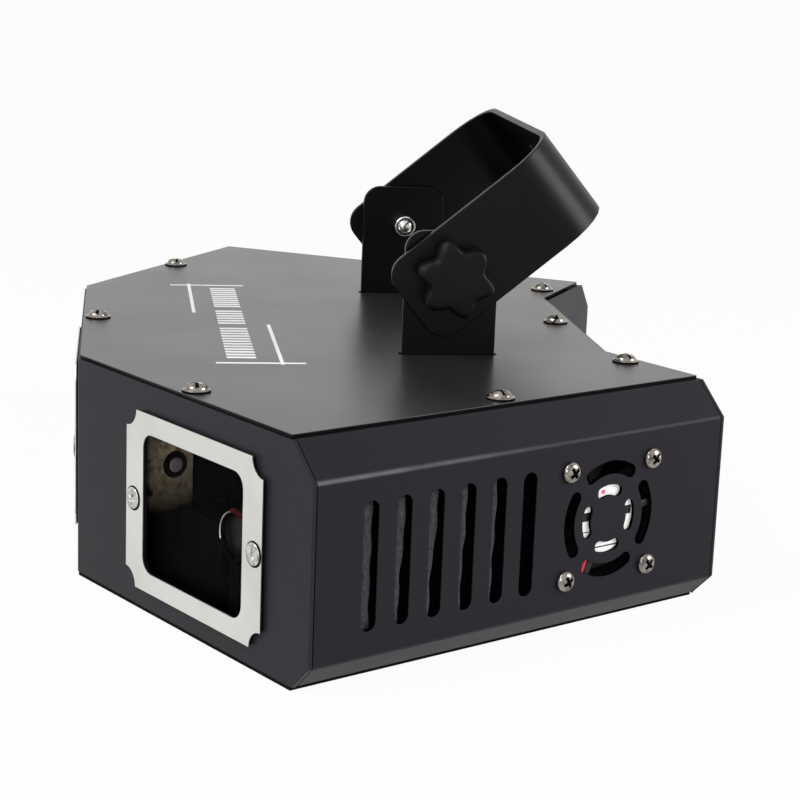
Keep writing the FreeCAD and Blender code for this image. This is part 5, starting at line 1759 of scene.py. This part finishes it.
@dataclass
class OpticalHead:
    """What shows through a window: the plates, the output lens and its lead.

    A section is the radius and height of each point. The lens's ring is its wall, half its depth and
    its edge, and the lead's route starts from the top of the lens.
    """

    name: str
    plan: Plan = PLAN
    left: float = 34.0
    right: float = 30.0
    front: float = 14.0
    back: float = 46.0
    sheet: float = 1.5
    foot: float = 1.2
    rear_height: float = 36.0
    right_height: float = 44.0
    plate_top: float = 56.0
    plate_near: float = 5.0
    plate_far: float = 19.8
    plate_low: float = 8.0
    pin_hole: Three = (4.9, 33.5, 1.5)
    grommet: Two = (13.4, 41.3)
    grommet_section: Pairs = (
        (2.2, 0), (4.0, 0), (4.0, 0.5), (3.7, 0.8), (3.2, 0.8), (3.0, 0.5), (2.7, 1.0), (2.2, 1.0),
        (2.2, 0),
    )
    rim_ring: tuple[float, ...] = (3.95, 4.3, 0, 0.3, 0.1)
    rivet_section: Pairs = ((0, 0), (2.2, 0), (2.2, 0.9), (1.8, 1.2), (0, 1.2))
    beam: float = 18.0
    side_along: float = 24.0
    drill: float = 4.1
    lens: Three = (-0.7, 15.0, 27.4)
    lens_radius: float = 7.6
    lens_ring: Three = (0.8, 1.2, 0.25)
    lens_dome: Pairs = ((0.0, 1.0), (0.4, 0.8), (0.7, 0.35))
    lens_rim: Three = (0.75, -0.3, -0.8)
    stand: Two = (3.0, 0.9)
    stand_sunk: Two = (0.1, 0.6)
    clip: float = 0.28
    clip_inset: float = 0.35
    clip_proud: float = 1.3
    clip_sweep: Two = (102.0, 9.5)
    clip_steps: int = 11
    lead: float = 0.8
    lead_route: tuple[Three, ...] = (
        (-1.5, -1.0, -0.2), (0.4, -1.2, 0.1), (3.5, -0.6, -1.4), (8.0, 1.0, -2.4),
    )
    lead_end: Three = (0.2, 5.0, 4.0)

    @property
    def place(self) -> Matrix:
        """This head's frame."""
        return self.plan.head_place(self.name)

    def build(self) -> None:
        """Make the plates, the lens and the lead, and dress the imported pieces."""
        self.make_plate()
        self.make_walls()
        self.make_lens()
        self.make_clip()
        for ending, finish in (("scanner_motors", BLACK_ANODISED), ("laser_module", BLACK_ANODISED),
                               ("x_mirror", MIRROR_COAT), ("y_mirror", MIRROR_COAT)):
            dress_node(f"{self.name}_{ending}", finish)

    def make_plate(self) -> None:
        """The zinc-plated cheek of the left wall, with its grommet and its pin hole, darkened to black
        below as painted shade.
        """
        inner = -self.left + self.sheet
        low = (-self.left, self.plate_near, self.plate_low)
        block = solid_box(low, (inner, self.plate_far, self.plate_top))
        setback, level, radius = self.pin_hole
        hole = turned_rod((-self.left - self.sheet, setback, level), "x", radius, 3 * self.sheet)
        finished(block, f"{self.name}_head_plate", PASSIVATED, "case", [f"{self.name}_scanner_bracket"],
                 Worked(0, [hole], edge=0.2), self.place)
        spot = move(inner, *self.grommet) @ turn(90, "Y")
        rings = (
            ("plate_grommet", self.grommet_section, BLACK_RUBBER_AND_SHADE, "black_rubber"),
            ("grommet_rim", ring_profile(*self.rim_ring), PASSIVATED, "bracket_zinc"),
            ("plate_rivet", self.rivet_section, RIVET_METAL, "bracket_zinc"),
        )
        for ending, section, finish, slot in rings:
            ring = placed(lathe(section), spot)
            finished(ring, f"{self.name}_{ending}", finish, "case", place=self.place)

    def make_walls(self) -> None:
        """The black foot, the rear wall, the right wall and the rest of the left one, all black as painted
        shade.
        """
        z = self.foot
        inner = -self.left + self.sheet
        rear = self.back - self.sheet
        side = self.right - self.sheet
        parts = [
            solid_box((inner, self.front, z), (self.right, self.back, z + self.sheet)),
            solid_box((inner, rear, z), (self.right, self.back, z + self.rear_height)),
            solid_box((side, self.front, z), (self.right, self.back, z + self.right_height)),
            solid_box((-self.left, self.front, z), (inner, self.back, self.plate_low)),
            solid_box((-self.left, self.plate_far, self.plate_low), (inner, self.back, self.plate_top)),
        ]
        reach = CUT / 2
        drills = [
            turned_rod((0, self.back - reach, self.beam), "y", self.drill, CUT),
            turned_rod((self.right - reach, self.side_along, self.plan.window_level), "x", self.drill, CUT),
        ]
        finished(join(parts), f"{self.name}_head_walls", BLACK_AND_PAINTED_SHADE, "case",
                 [f"{self.name}_scanner_bracket"],
                 Worked(0, drills, edge=0.15, edge_steps=1), self.place)

    def make_lens(self) -> None:
        """The output lens in its black ring, on a post from the foot."""
        x, y, z = self.lens
        r = self.lens_radius
        wide, deep = self.stand
        spot = move(x, y, z) @ turn(90, "X")
        low = self.foot + self.sheet - self.stand_sunk[0]
        high = z - r + self.stand_sunk[1]
        wall, half, edge = self.lens_ring
        stand = [
            solid_box((x - wide, y - deep, low), (x + wide, y + deep, high), round_off=0.2),
            placed(lathe(ring_profile(r - wall, r, -half, half, edge)), spot),
        ]
        finished(join(stand), f"{self.name}_lens_stand", BLACK_AND_PAINTED_SHADE, "case",
                 place=self.place)
        inset, brim, back = self.lens_rim
        crown = [(r * share, rise) for share, rise in self.lens_dome]
        dome = lathe(crown + [(r - inset, brim), (r - inset, back), (0, back)])
        finished(placed(dome, spot), f"{self.name}_output_lens", LENS_GLASS, "case",
                 place=self.place, shade=Shade.SOFT)

    def make_clip(self) -> None:
        """The bright clip on the lens's rim, and the red lead that passes it."""
        x, y, z = self.lens
        reach = self.lens_radius - self.clip_inset
        first, step = self.clip_sweep
        clip = []
        for index in range(self.clip_steps):
            aim = radians(first + step * index)
            clip.append((x + reach * cos(aim), y - self.clip_proud, z + reach * sin(aim)))
        top = z + self.lens_radius
        lead = [(x + a, y + b, top + c) for a, b, c in self.lead_route]
        short, past, drop = self.lead_end
        lead.append((self.right - self.sheet - short, y + past, top - drop))
        finished(wire_tube(clip, self.clip), f"{self.name}_lens_clip", ZINC_METAL, "case",
                 place=self.place)
        # The lead inside the head is darkened as painted shade.
        finished(wire_tube(lead, self.lead), f"{self.name}_lens_lead", SHADED_RED_SLEEVE, "case",
                 place=self.place)


@dataclass
class BackFittings:
    """The inlet, the data sockets, the switch and the buttons in the back panel.

    A mouth is its width, height, depth and corner, a box its width, height and depth, a pin its
    radius, length and edge, and a point of the buttons' section its radius and height.
    """

    plan: Plan = PLAN
    trim: float = 2.0
    flange_corner: float = 2.6
    edge: float = 0.4
    inlet_face: Two = (30.6, 23.6)
    inlet_mouth: Four = (23.4, 16.4, 17.0, 2.4)
    inlet_box: Three = (26.2, 19.2, 22.0)
    blades: Pairs = ((-7.0, -2.0), (0.0, 3.0), (7.0, -2.0))
    blade_half: Two = (0.9, 1.8)
    blade_span: Two = (-15.0, -4.0)
    blade_edge: float = 0.3
    switch_face: Two = (16.2, 22.6)
    switch_mouth: Four = (10.0, 16.4, 9.5, 0.4)
    switch_box: Three = (11.8, 18.2, 15.0)
    socket_face: Two = (24.0, 29.0)
    socket_corner: float = 3.0
    socket_rim: float = 0.6
    barrel: Two = (8.0, 10.8)
    barrel_back: float = -20.0
    bore_slack: float = 0.02
    mouth_deep: float = 11.0
    floor_sheet: float = 2.0
    contacts: Pairs = ((4.6, 0.0), (-4.6, 0.0), (0.0, -4.6))
    pin: Three = (1.2, 8.5, 0.5)
    insert: Two = (6.2, 9.5)
    insert_sunk: float = 0.1
    insert_hole: float = 1.4
    insert_floor: float = 2.0
    latch_half: float = 3.2
    latch_span: Two = (11.2, 13.6)
    latch_proud: Two = (-0.2, 1.0)
    button_section: Pairs = (
        (0, -2.1), (3.2, -2.1), (3.2, -1.3), (2.4, -1.3), (2.4, 1.5), (2.15, 1.9), (1.6, 2.0), (0, 1.75),
    )

    def build(self) -> None:
        """Make every fitting."""
        plan = self.plan
        self.make_boxed("power_inlet", plan.inlet, self.inlet_face, self.inlet_mouth, self.inlet_box)
        self.make_blades()
        for node, across in zip(("dmx_input", "dmx_output"), plan.sockets):
            self.make_socket(node, across)
        self.make_pins()
        self.make_insert()
        self.make_boxed("power_switch", plan.switch, self.switch_face, self.switch_mouth, self.switch_box)
        self.make_buttons()

    @property
    def floor(self) -> float:
        """Where the floor of a data socket lies, out of the panel's face."""
        return self.trim - self.mouth_deep

    def spot(self, across: float, level: float) -> Matrix:
        """A frame on the back panel's outer face, y pointing out of it."""
        return move(across, self.plan.recess_y, level)

    def make_boxed(self, node: str, middle: Two, face: Two, mouth: Four, box: Three) -> None:
        """A snap-in fitting: a rounded flange and a box behind it, with one mouth through both.

        Args:
            node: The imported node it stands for.
            middle: Where it sits in the panel.
            face: Width and height of its flange.
            mouth: Width, height, depth and corner of its mouth.
            box: Width, height and depth of its box.
        """
        wide, tall, deep, corner = mouth
        flange = placed(rounded_prism(*face, self.flange_corner, self.trim), move(0, self.trim / 2, 0))
        shell = solid_box((-box[0] / 2, -box[2], -box[1] / 2), (box[0] / 2, 0, box[1] / 2))
        for part, mesh in (("flange", flange), ("box", shell)):
            opening = placed(rounded_prism(wide, tall, corner, 2 * deep), move(0, self.trim, 0))
            finished(mesh, f"{node}_{part}", MOULDED_BLACK, "case", [node],
                     Worked(0, [opening], self.edge), self.spot(*middle))

    def make_blades(self) -> None:
        """The three flat blades in the inlet."""
        a, b = self.blade_half
        back, front = self.blade_span
        edge = self.blade_edge
        bars = [solid_box((x - a, back, z - b), (x + a, front, z + b), edge) for x, z in self.blades]
        finished(join(bars), "power_inlet_blades", ZINC_METAL, "case", ["power_inlet"],
                 place=self.spot(*self.plan.inlet))

    def make_socket(self, node: str, across: float) -> None:
        """A round socket: a square flange, a barrel with a soft rim, and its floor.

        Args:
            node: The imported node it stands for.
            across: Where it sits in the panel.
        """
        inner, outer = self.barrel
        spot = self.spot(across, self.plan.socket_level)
        flange = placed(rounded_prism(*self.socket_face, self.socket_corner, self.trim),
                        move(0, self.trim / 2, 0))
        bore = turned_rod((0, -CUT / 2, 0), "y", outer + self.bore_slack, CUT)
        finished(flange, f"{node}_flange", MOULDED_BLACK, "case", [node],
                 Worked(0, [bore], self.edge), spot)
        rim = self.socket_rim
        tube = lathe(ring_profile(inner, outer, self.barrel_back, self.trim + rim, rim))
        parts = [
            placed(tube, turn(-90, "X")),
            turned_rod((0, self.floor - self.floor_sheet, 0), "y", inner, self.floor_sheet),
        ]
        finished(join(parts), f"{node}_barrel", MOULDED_BLACK, "case", [node], place=spot)

    def make_pins(self) -> None:
        """The three round pins of the input."""
        radius, length, edge = self.pin
        low = self.floor - edge
        pins = [turned_rod((x, low, z), "y", radius, length, edge) for x, z in self.contacts]
        finished(join(pins), "dmx_input_pins", ZINC_METAL, "case", ["dmx_input"],
                 place=self.spot(self.plan.sockets[0], self.plan.socket_level))

    def make_insert(self) -> None:
        """The round insert of the output with its three holes, and the latch above it."""
        radius, length = self.insert
        core = turned_rod((0, self.floor - self.insert_sunk, 0), "y", radius, length, self.edge)
        low = self.floor + self.insert_floor
        holes = [turned_rod((x, low, z), "y", self.insert_hole, CUT) for x, z in self.contacts]
        spot = self.spot(self.plan.sockets[1], self.plan.socket_level)
        finished(core, "dmx_output_insert", MOULDED_BLACK, "case", ["dmx_output"],
                 Worked(0, holes, edge=0.15, edge_steps=1), spot)
        low, high = self.latch_span
        half = self.latch_half
        back, front = [self.trim + proud for proud in self.latch_proud]
        latch = solid_box((-half, back, low), (half, front, high), self.edge)
        finished(latch, "dmx_output_latch", GREY_MOULDED, "case", ["dmx_output"],
                 place=spot)

    def make_buttons(self) -> None:
        """The four round buttons with hollowed caps, each with a collar behind the panel."""
        for name, across in zip(("menu", "down", "up", "enter"), self.plan.buttons):
            cap = placed(lathe(self.button_section), turn(-90, "X"))
            finished(cap, f"{name}_cap", GREY_MOULDED, f"{name}_key", [f"{name}_button"],
                     place=self.spot(across, self.plan.switch[1]))


@dataclass
class Yoke:
    """The posts, the tilting yoke and its knobs.

    A ring is its bore, outer radius, thickness and edge. A point of the knob's crown is its depth
    below the top and the size there, and one of the stud's nose its radius and reach past the post.
    """

    plan: Plan = PLAN
    post_half: float = 54.5
    post_sheet: float = 2.0
    post_width: float = 29.0
    post_rise: float = 13.6
    post_bend: float = 2.5
    post_corner: float = 6.0
    arm_in: float = 55.6
    sheet: float = 2.0
    width: float = 29.4
    reach: float = 50.2
    heel: float = 16.0
    bend: float = 17.0
    corner: float = 7.0
    corner_steps: int = 8
    tilt: float = 39.5
    hole: float = 5.25
    washer: Four = (3.3, 7.0, 1.2, 0.15)
    play: float = 0.1
    knob_depth: float = 7.5
    knob_radius: float = 11.9
    knob_valley: float = 8.9
    knob_turn: float = 46.0
    knob_lobes: int = 6
    knob_points: int = 144
    knob_swell: float = 1.03
    knob_foot: float = 0.5
    knob_crown: Pairs = ((1.4, 1.03), (0.5, 0.99), (0.1, 0.93), (0.0, 0.86))
    stud: float = 3.0
    stud_nose: Pairs = ((0, 5.2), (1.4, 5.05), (2.4, 4.5), (3.0, 3.6))
    stud_sunk: float = 0.5
    nut: Four = (3.05, 3.6, 5.0, 0.25)
    friction: Four = (3.3, 12.0, 1.0, 0.2)

    @property
    def pivot(self) -> Matrix:
        """The frame of the pivot, before the tilt."""
        return move(0, self.plan.nose_y + self.plan.pivot_setback, self.plan.pivot_level)

    def build(self) -> None:
        """Make the posts, the yoke and the knobs."""
        self.make_posts()
        self.make_yoke()
        self.make_rings()
        self.make_knobs()

    def round_corners(self, bm: Mesh, chosen: Callable[[Vector], bool], radius: float) -> None:
        """Round some of a sheet's corners.

        Args:
            bm: The sheet.
            chosen: Whether a corner at a place is rounded.
            radius: The radius.
        """
        corners = [vert for vert in bm.verts if chosen(vert.co) and len(vert.link_edges) == 2]
        ops.bevel(bm, geom=corners, offset=radius * MM, segments=self.corner_steps, profile=0.5,
                  affect="VERTICES", material=-1)

    def make_posts(self) -> None:
        """The bracket whose two posts stand up through the cover."""
        y = self.plan.nose_y + self.plan.pivot_setback - self.post_width / 2
        top = self.plan.pivot_level + self.post_rise
        low = self.plan.sheet
        half = self.post_half
        path = [vec(-half, y, top), vec(-half, y, low), vec(half, y, low), vec(half, y, top)]
        sheet = fold_sheet(path, vec(0, self.post_width, 0), self.post_bend, -Z)
        self.round_corners(sheet, lambda spot: spot.z > (top - 1) * MM, self.post_corner)
        finished(sheet, "post_sheet", STRIP_PAINT, "case", ["post_bracket"],
                 Worked(self.post_sheet, [], edge=0.3))

    def make_yoke(self) -> None:
        """The bent strip with its hanging hole."""
        outer = self.arm_in + self.sheet
        w = self.width / 2
        path = [
            vec(-outer, -self.heel, -w), vec(-outer, self.reach, -w), vec(outer, self.reach, -w),
            vec(outer, -self.heel, -w),
        ]
        sheet = fold_sheet(path, vec(0, 0, self.width), self.bend, Y)
        self.round_corners(sheet, lambda spot: spot.y < (1 - self.heel) * MM, self.corner)
        deep = CUT / 2
        drill = lathe([(0, -deep), (self.hole, -deep), (self.hole, deep), (0, deep)])
        drill = placed(drill, move(0, self.reach, 0) @ turn(90, "X"))
        finished(sheet, "yoke_strip", STRIP_PAINT, "yoke", ["yoke"],
                 Worked(self.sheet, [drill], edge=0.35), self.pivot @ turn(self.tilt, "X"))

    def make_rings(self) -> None:
        """The knobs' washers, the nuts in the posts and the friction washers beside them."""
        start = self.arm_in + self.sheet + self.play
        inner = self.post_half - self.post_sheet
        bore, outer, thick, edge = self.washer
        washer = lathe(ring_profile(bore, outer, start, start + thick, edge))
        bore, outer, thick, edge = self.nut
        nut = lathe(ring_profile(bore, outer, inner - thick, inner, edge))
        bore, outer, thick, edge = self.friction
        friction = lathe(ring_profile(bore, outer, self.post_half, self.post_half + thick, edge))
        upright = self.pivot @ turn(90, "Y")
        pair(washer, "washer_ring", ZINC_METAL, "*_washer", "*_knob_washer", place=upright)
        pair(nut, "nut_ring", ZINC_METAL, "case", "pivot_nuts", place=upright)
        pair(friction, "friction_ring", BLACK_RUBBER_AND_SHADE, "case", "friction_washers",
             place=upright)

    def make_knobs(self) -> None:
        """The star knobs with their round-nosed studs."""
        start = self.arm_in + self.sheet + 2 * self.play + self.washer[2]
        pair(self.star(start), "star_knob", KNOB_NYLON, "*_knob", "*_knob",
             place=self.pivot)
        inner = self.post_half - self.post_sheet
        end = start + self.stud_sunk
        nose = [(radius, inner - past) for radius, past in self.stud_nose]
        section = nose + [(self.stud, end), (0, end)]
        pair(lathe(section), "knob_stud", ZINC_METAL, "*_knob", "*_knob",
             place=self.pivot @ turn(90, "Y"))

    def star(self, start: float) -> Mesh:
        """A lobed knob along +x from a start.

        Args:
            start: Where its inner face is.

        Returns:
            The knob.
        """
        bm = bmesh.new()
        ops.create_circle(bm, cap_ends=False, segments=self.knob_points, radius=1.0)
        mean = (self.knob_radius + self.knob_valley) / 2
        swing = (self.knob_radius - self.knob_valley) / 2
        swell = self.knob_swell
        for vert in bm.verts:
            aim = atan2(vert.co.y, vert.co.x)
            lobe = cos(self.knob_lobes * (aim - radians(self.knob_turn)))
            vert.co *= (mean + swing * lobe) * MM
        loop = bm.edges[:]
        deep = self.knob_depth
        last = 0.0
        scale = 1.0
        crown = [(deep - below, size) for below, size in self.knob_crown]
        for level, size in [(self.knob_foot, swell), *crown]:
            grown = ops.extrude_edge_only(bm, edges=loop)["geom"]
            ring = new_verts(grown)
            loop = [item for item in grown if isinstance(item, bmesh.types.BMEdge)
                    and all(vert in ring for vert in item.verts)]
            ops.translate(bm, verts=ring, vec=vec(0, 0, level - last))
            ops.scale(bm, verts=ring, vec=Vector((size / scale, size / scale, 1)))
            last = level
            scale = size
        for vert in bm.verts:
            vert.co.xy /= swell
        ops.holes_fill(bm, edges=bm.edges, sides=0)
        ops.recalc_face_normals(bm, faces=bm.faces)
        upright = Matrix(((0, 0, 1, 0), (1, 0, 0, 0), (0, 1, 0, 0), (0, 0, 0, 1)))
        return placed(bm, move(start, 0, 0) @ upright)


@dataclass(frozen=True)
class Lamp:
    """A soft square lamp that looks at the object: its place, its side length and its watts."""

    name: str
    spot: Three
    span: float
    power: float
    aim: Three = (0.0, 0.0, 40.0)

    def build(self) -> None:
        """Hang the lamp."""
        data = bpy.data.lights.new(self.name, "AREA")
        data.size = self.span * MM
        data.energy = self.power
        lamp = bpy.data.objects.new(self.name, data)
        lamp.location = vec(*self.spot)
        lamp.rotation_euler = (vec(*self.aim) - vec(*self.spot)).to_track_quat("-Z", "Y").to_euler()
        bpy.context.scene.collection.objects.link(lamp)


@dataclass
class Studio:
    """The camera, the light and the floor.

    The camera's place is in millimetres from the nose, and its three axes are right, down and ahead.
    """

    spot: Three = (646.976, 12.033, 193.774)
    right: Three = (0.135471, 0.990069, 0.037567)
    down: Three = (0.229672, 0.005503, -0.973253)
    ahead: Three = (-0.963794, 0.140475, -0.226645)
    focal_pixels: float = 1984.37
    frame_pixels: float = 800.0
    sensor: float = 36.0
    nearest: float = 10.0
    lamps: tuple[Lamp, ...] = (
        Lamp("key", (300, -700, 900), 700, 8.8),
        Lamp("rim", (360, 1000, 430), 500, 8.0),
        Lamp("front", (950, -370, 330), 400, 2.5),
    )
    room_light: float = 0.55
    floor_half: float = 60000.0
    floor_level: float = -0.05
    floor_colour: str = "f4f4f4"
    floor_glow: float = 0.95
    ceiling_half: float = 1600.0
    ceiling_level: float = 1500.0

    def build(self) -> None:
        """Make the camera, the lamps, the room and the floor."""
        scene = bpy.context.scene
        scene.view_settings.view_transform = "Standard"
        data = bpy.data.cameras.new("camera")
        data.sensor_width = self.sensor
        data.lens = self.focal_pixels / self.frame_pixels * self.sensor
        data.clip_start = self.nearest * MM
        camera = bpy.data.objects.new("camera", data)
        axes = Matrix((self.right, [-v for v in self.down], [-v for v in self.ahead])).transposed()
        x, y, z = self.spot
        camera.matrix_world = move(x, y + PLAN.nose_y, z) @ axes.to_4x4()
        scene.collection.objects.link(camera)
        scene.camera = camera
        self.make_room(scene)
        self.make_floor()
        self.make_ceiling()
        for lamp in self.lamps:
            lamp.build()

    def level_sheet(self, name: str, half: float, level: float) -> Piece:
        """A level square sheet that looks up.

        Args:
            name: Its name.
            half: Half its side length.
            level: Its height.

        Returns:
            The sheet.
        """
        bm = bmesh.new()
        ops.create_grid(bm, x_segments=1, y_segments=1, size=half * MM)
        ops.translate(bm, verts=bm.verts, vec=vec(0, 0, level))
        return raw_object(bm, name)

    def make_ceiling(self) -> None:
        """A dark ceiling out of the camera's sight, which keeps the upper bevels dark."""
        ceiling = self.level_sheet("ceiling", self.ceiling_half, self.ceiling_level)
        ceiling.data.flip_normals()
        ceiling.visible_camera = False
        ceiling.visible_shadow = False
        ceiling.visible_glossy = False
        ceiling.data.materials.append(BLACK_AND_PAINTED_SHADE.build())

    def make_room(self, scene: bpy.types.Scene) -> None:
        """A plain white room that mirrors and glass can see.

        Args:
            scene: The scene it goes round.
        """
        world = bpy.data.worlds.new("room")
        world.use_nodes = True
        scene.world = world
        tree = world.node_tree
        tree.nodes.clear()
        path = add_node(tree, "LightPath")
        seen = add_node(tree, "Math", {"operation": "MAXIMUM"},
                        {0: path.outputs["Is Camera Ray"], 1: path.outputs["Is Glossy Ray"]})
        seen = add_node(tree, "Math", {"operation": "MAXIMUM"},
                        {0: seen, 1: path.outputs["Is Transmission Ray"]})
        light = add_node(tree, "MapRange", {"To Min": self.room_light, "To Max": 1.0}, {"Value": seen})
        back = add_node(tree, "Background", {"Color": (1, 1, 1, 1)}, {"Strength": light})
        add_node(tree, "OutputWorld", {}, {"Surface": back})

    def make_floor(self) -> None:
        """A pale floor that stays near white under the camera and keeps a soft shadow."""
        floor = self.level_sheet("floor", self.floor_half, self.floor_level)
        material = bpy.data.materials.new("PaleSeamlessPaper")
        material.use_nodes = True
        tree = material.node_tree
        shader = tree.nodes["Principled BSDF"]
        shader.inputs["Base Color"].default_value = linear(self.floor_colour)
        shader.inputs["Roughness"].default_value = 0.9
        shader.inputs["Specular IOR Level"].default_value = 0.0
        path = add_node(tree, "LightPath")
        seen = add_node(tree, "Math", {"operation": "MAXIMUM"},
                        {0: path.outputs["Is Camera Ray"], 1: path.outputs["Is Glossy Ray"]})
        share = add_node(tree, "MapRange", {"To Min": 0.0, "To Max": self.floor_glow}, {"Value": seen})
        glow = add_node(tree, "Emission", {"Color": (1, 1, 1, 1), "Strength": 1.0})
        mixed = add_node(tree, "MixShader", {}, {0: share, 1: shader, 2: glow})
        tree.links.new(mixed.outputs[0], tree.nodes["Material Output"].inputs["Surface"])
        floor.data.materials.append(material)


NODE_FINISHES = {
    "power_supply": SOLDER_MASK, "control_board": SOLDER_MASK, "display_board": SMOKED,
    "switch_rocker": RED_MOULDED,
}


def drop_loose() -> None:
    """Remove the patterns that copies were made from."""
    for item in list(bpy.data.objects):
        if item.name.startswith("screw_pattern"):
            bpy.data.meshes.remove(item.data)


def main() -> None:
    """Build every sub-assembly."""
    logging.basicConfig(level=logging.INFO, format="%(name)s %(message)s")
    Studio().build()
    for name, finish in NODE_FINISHES.items():
        dress_node(name, finish)
    Case().build()
    Windows().build()
    Fasteners().build()
    Fan().build()
    VentFilter().build()
    BackFittings().build()
    for name in HEADS:
        OpticalHead(name).build()
    Yoke().build()
    drop_loose()


if __name__ == "__main__":
    main()
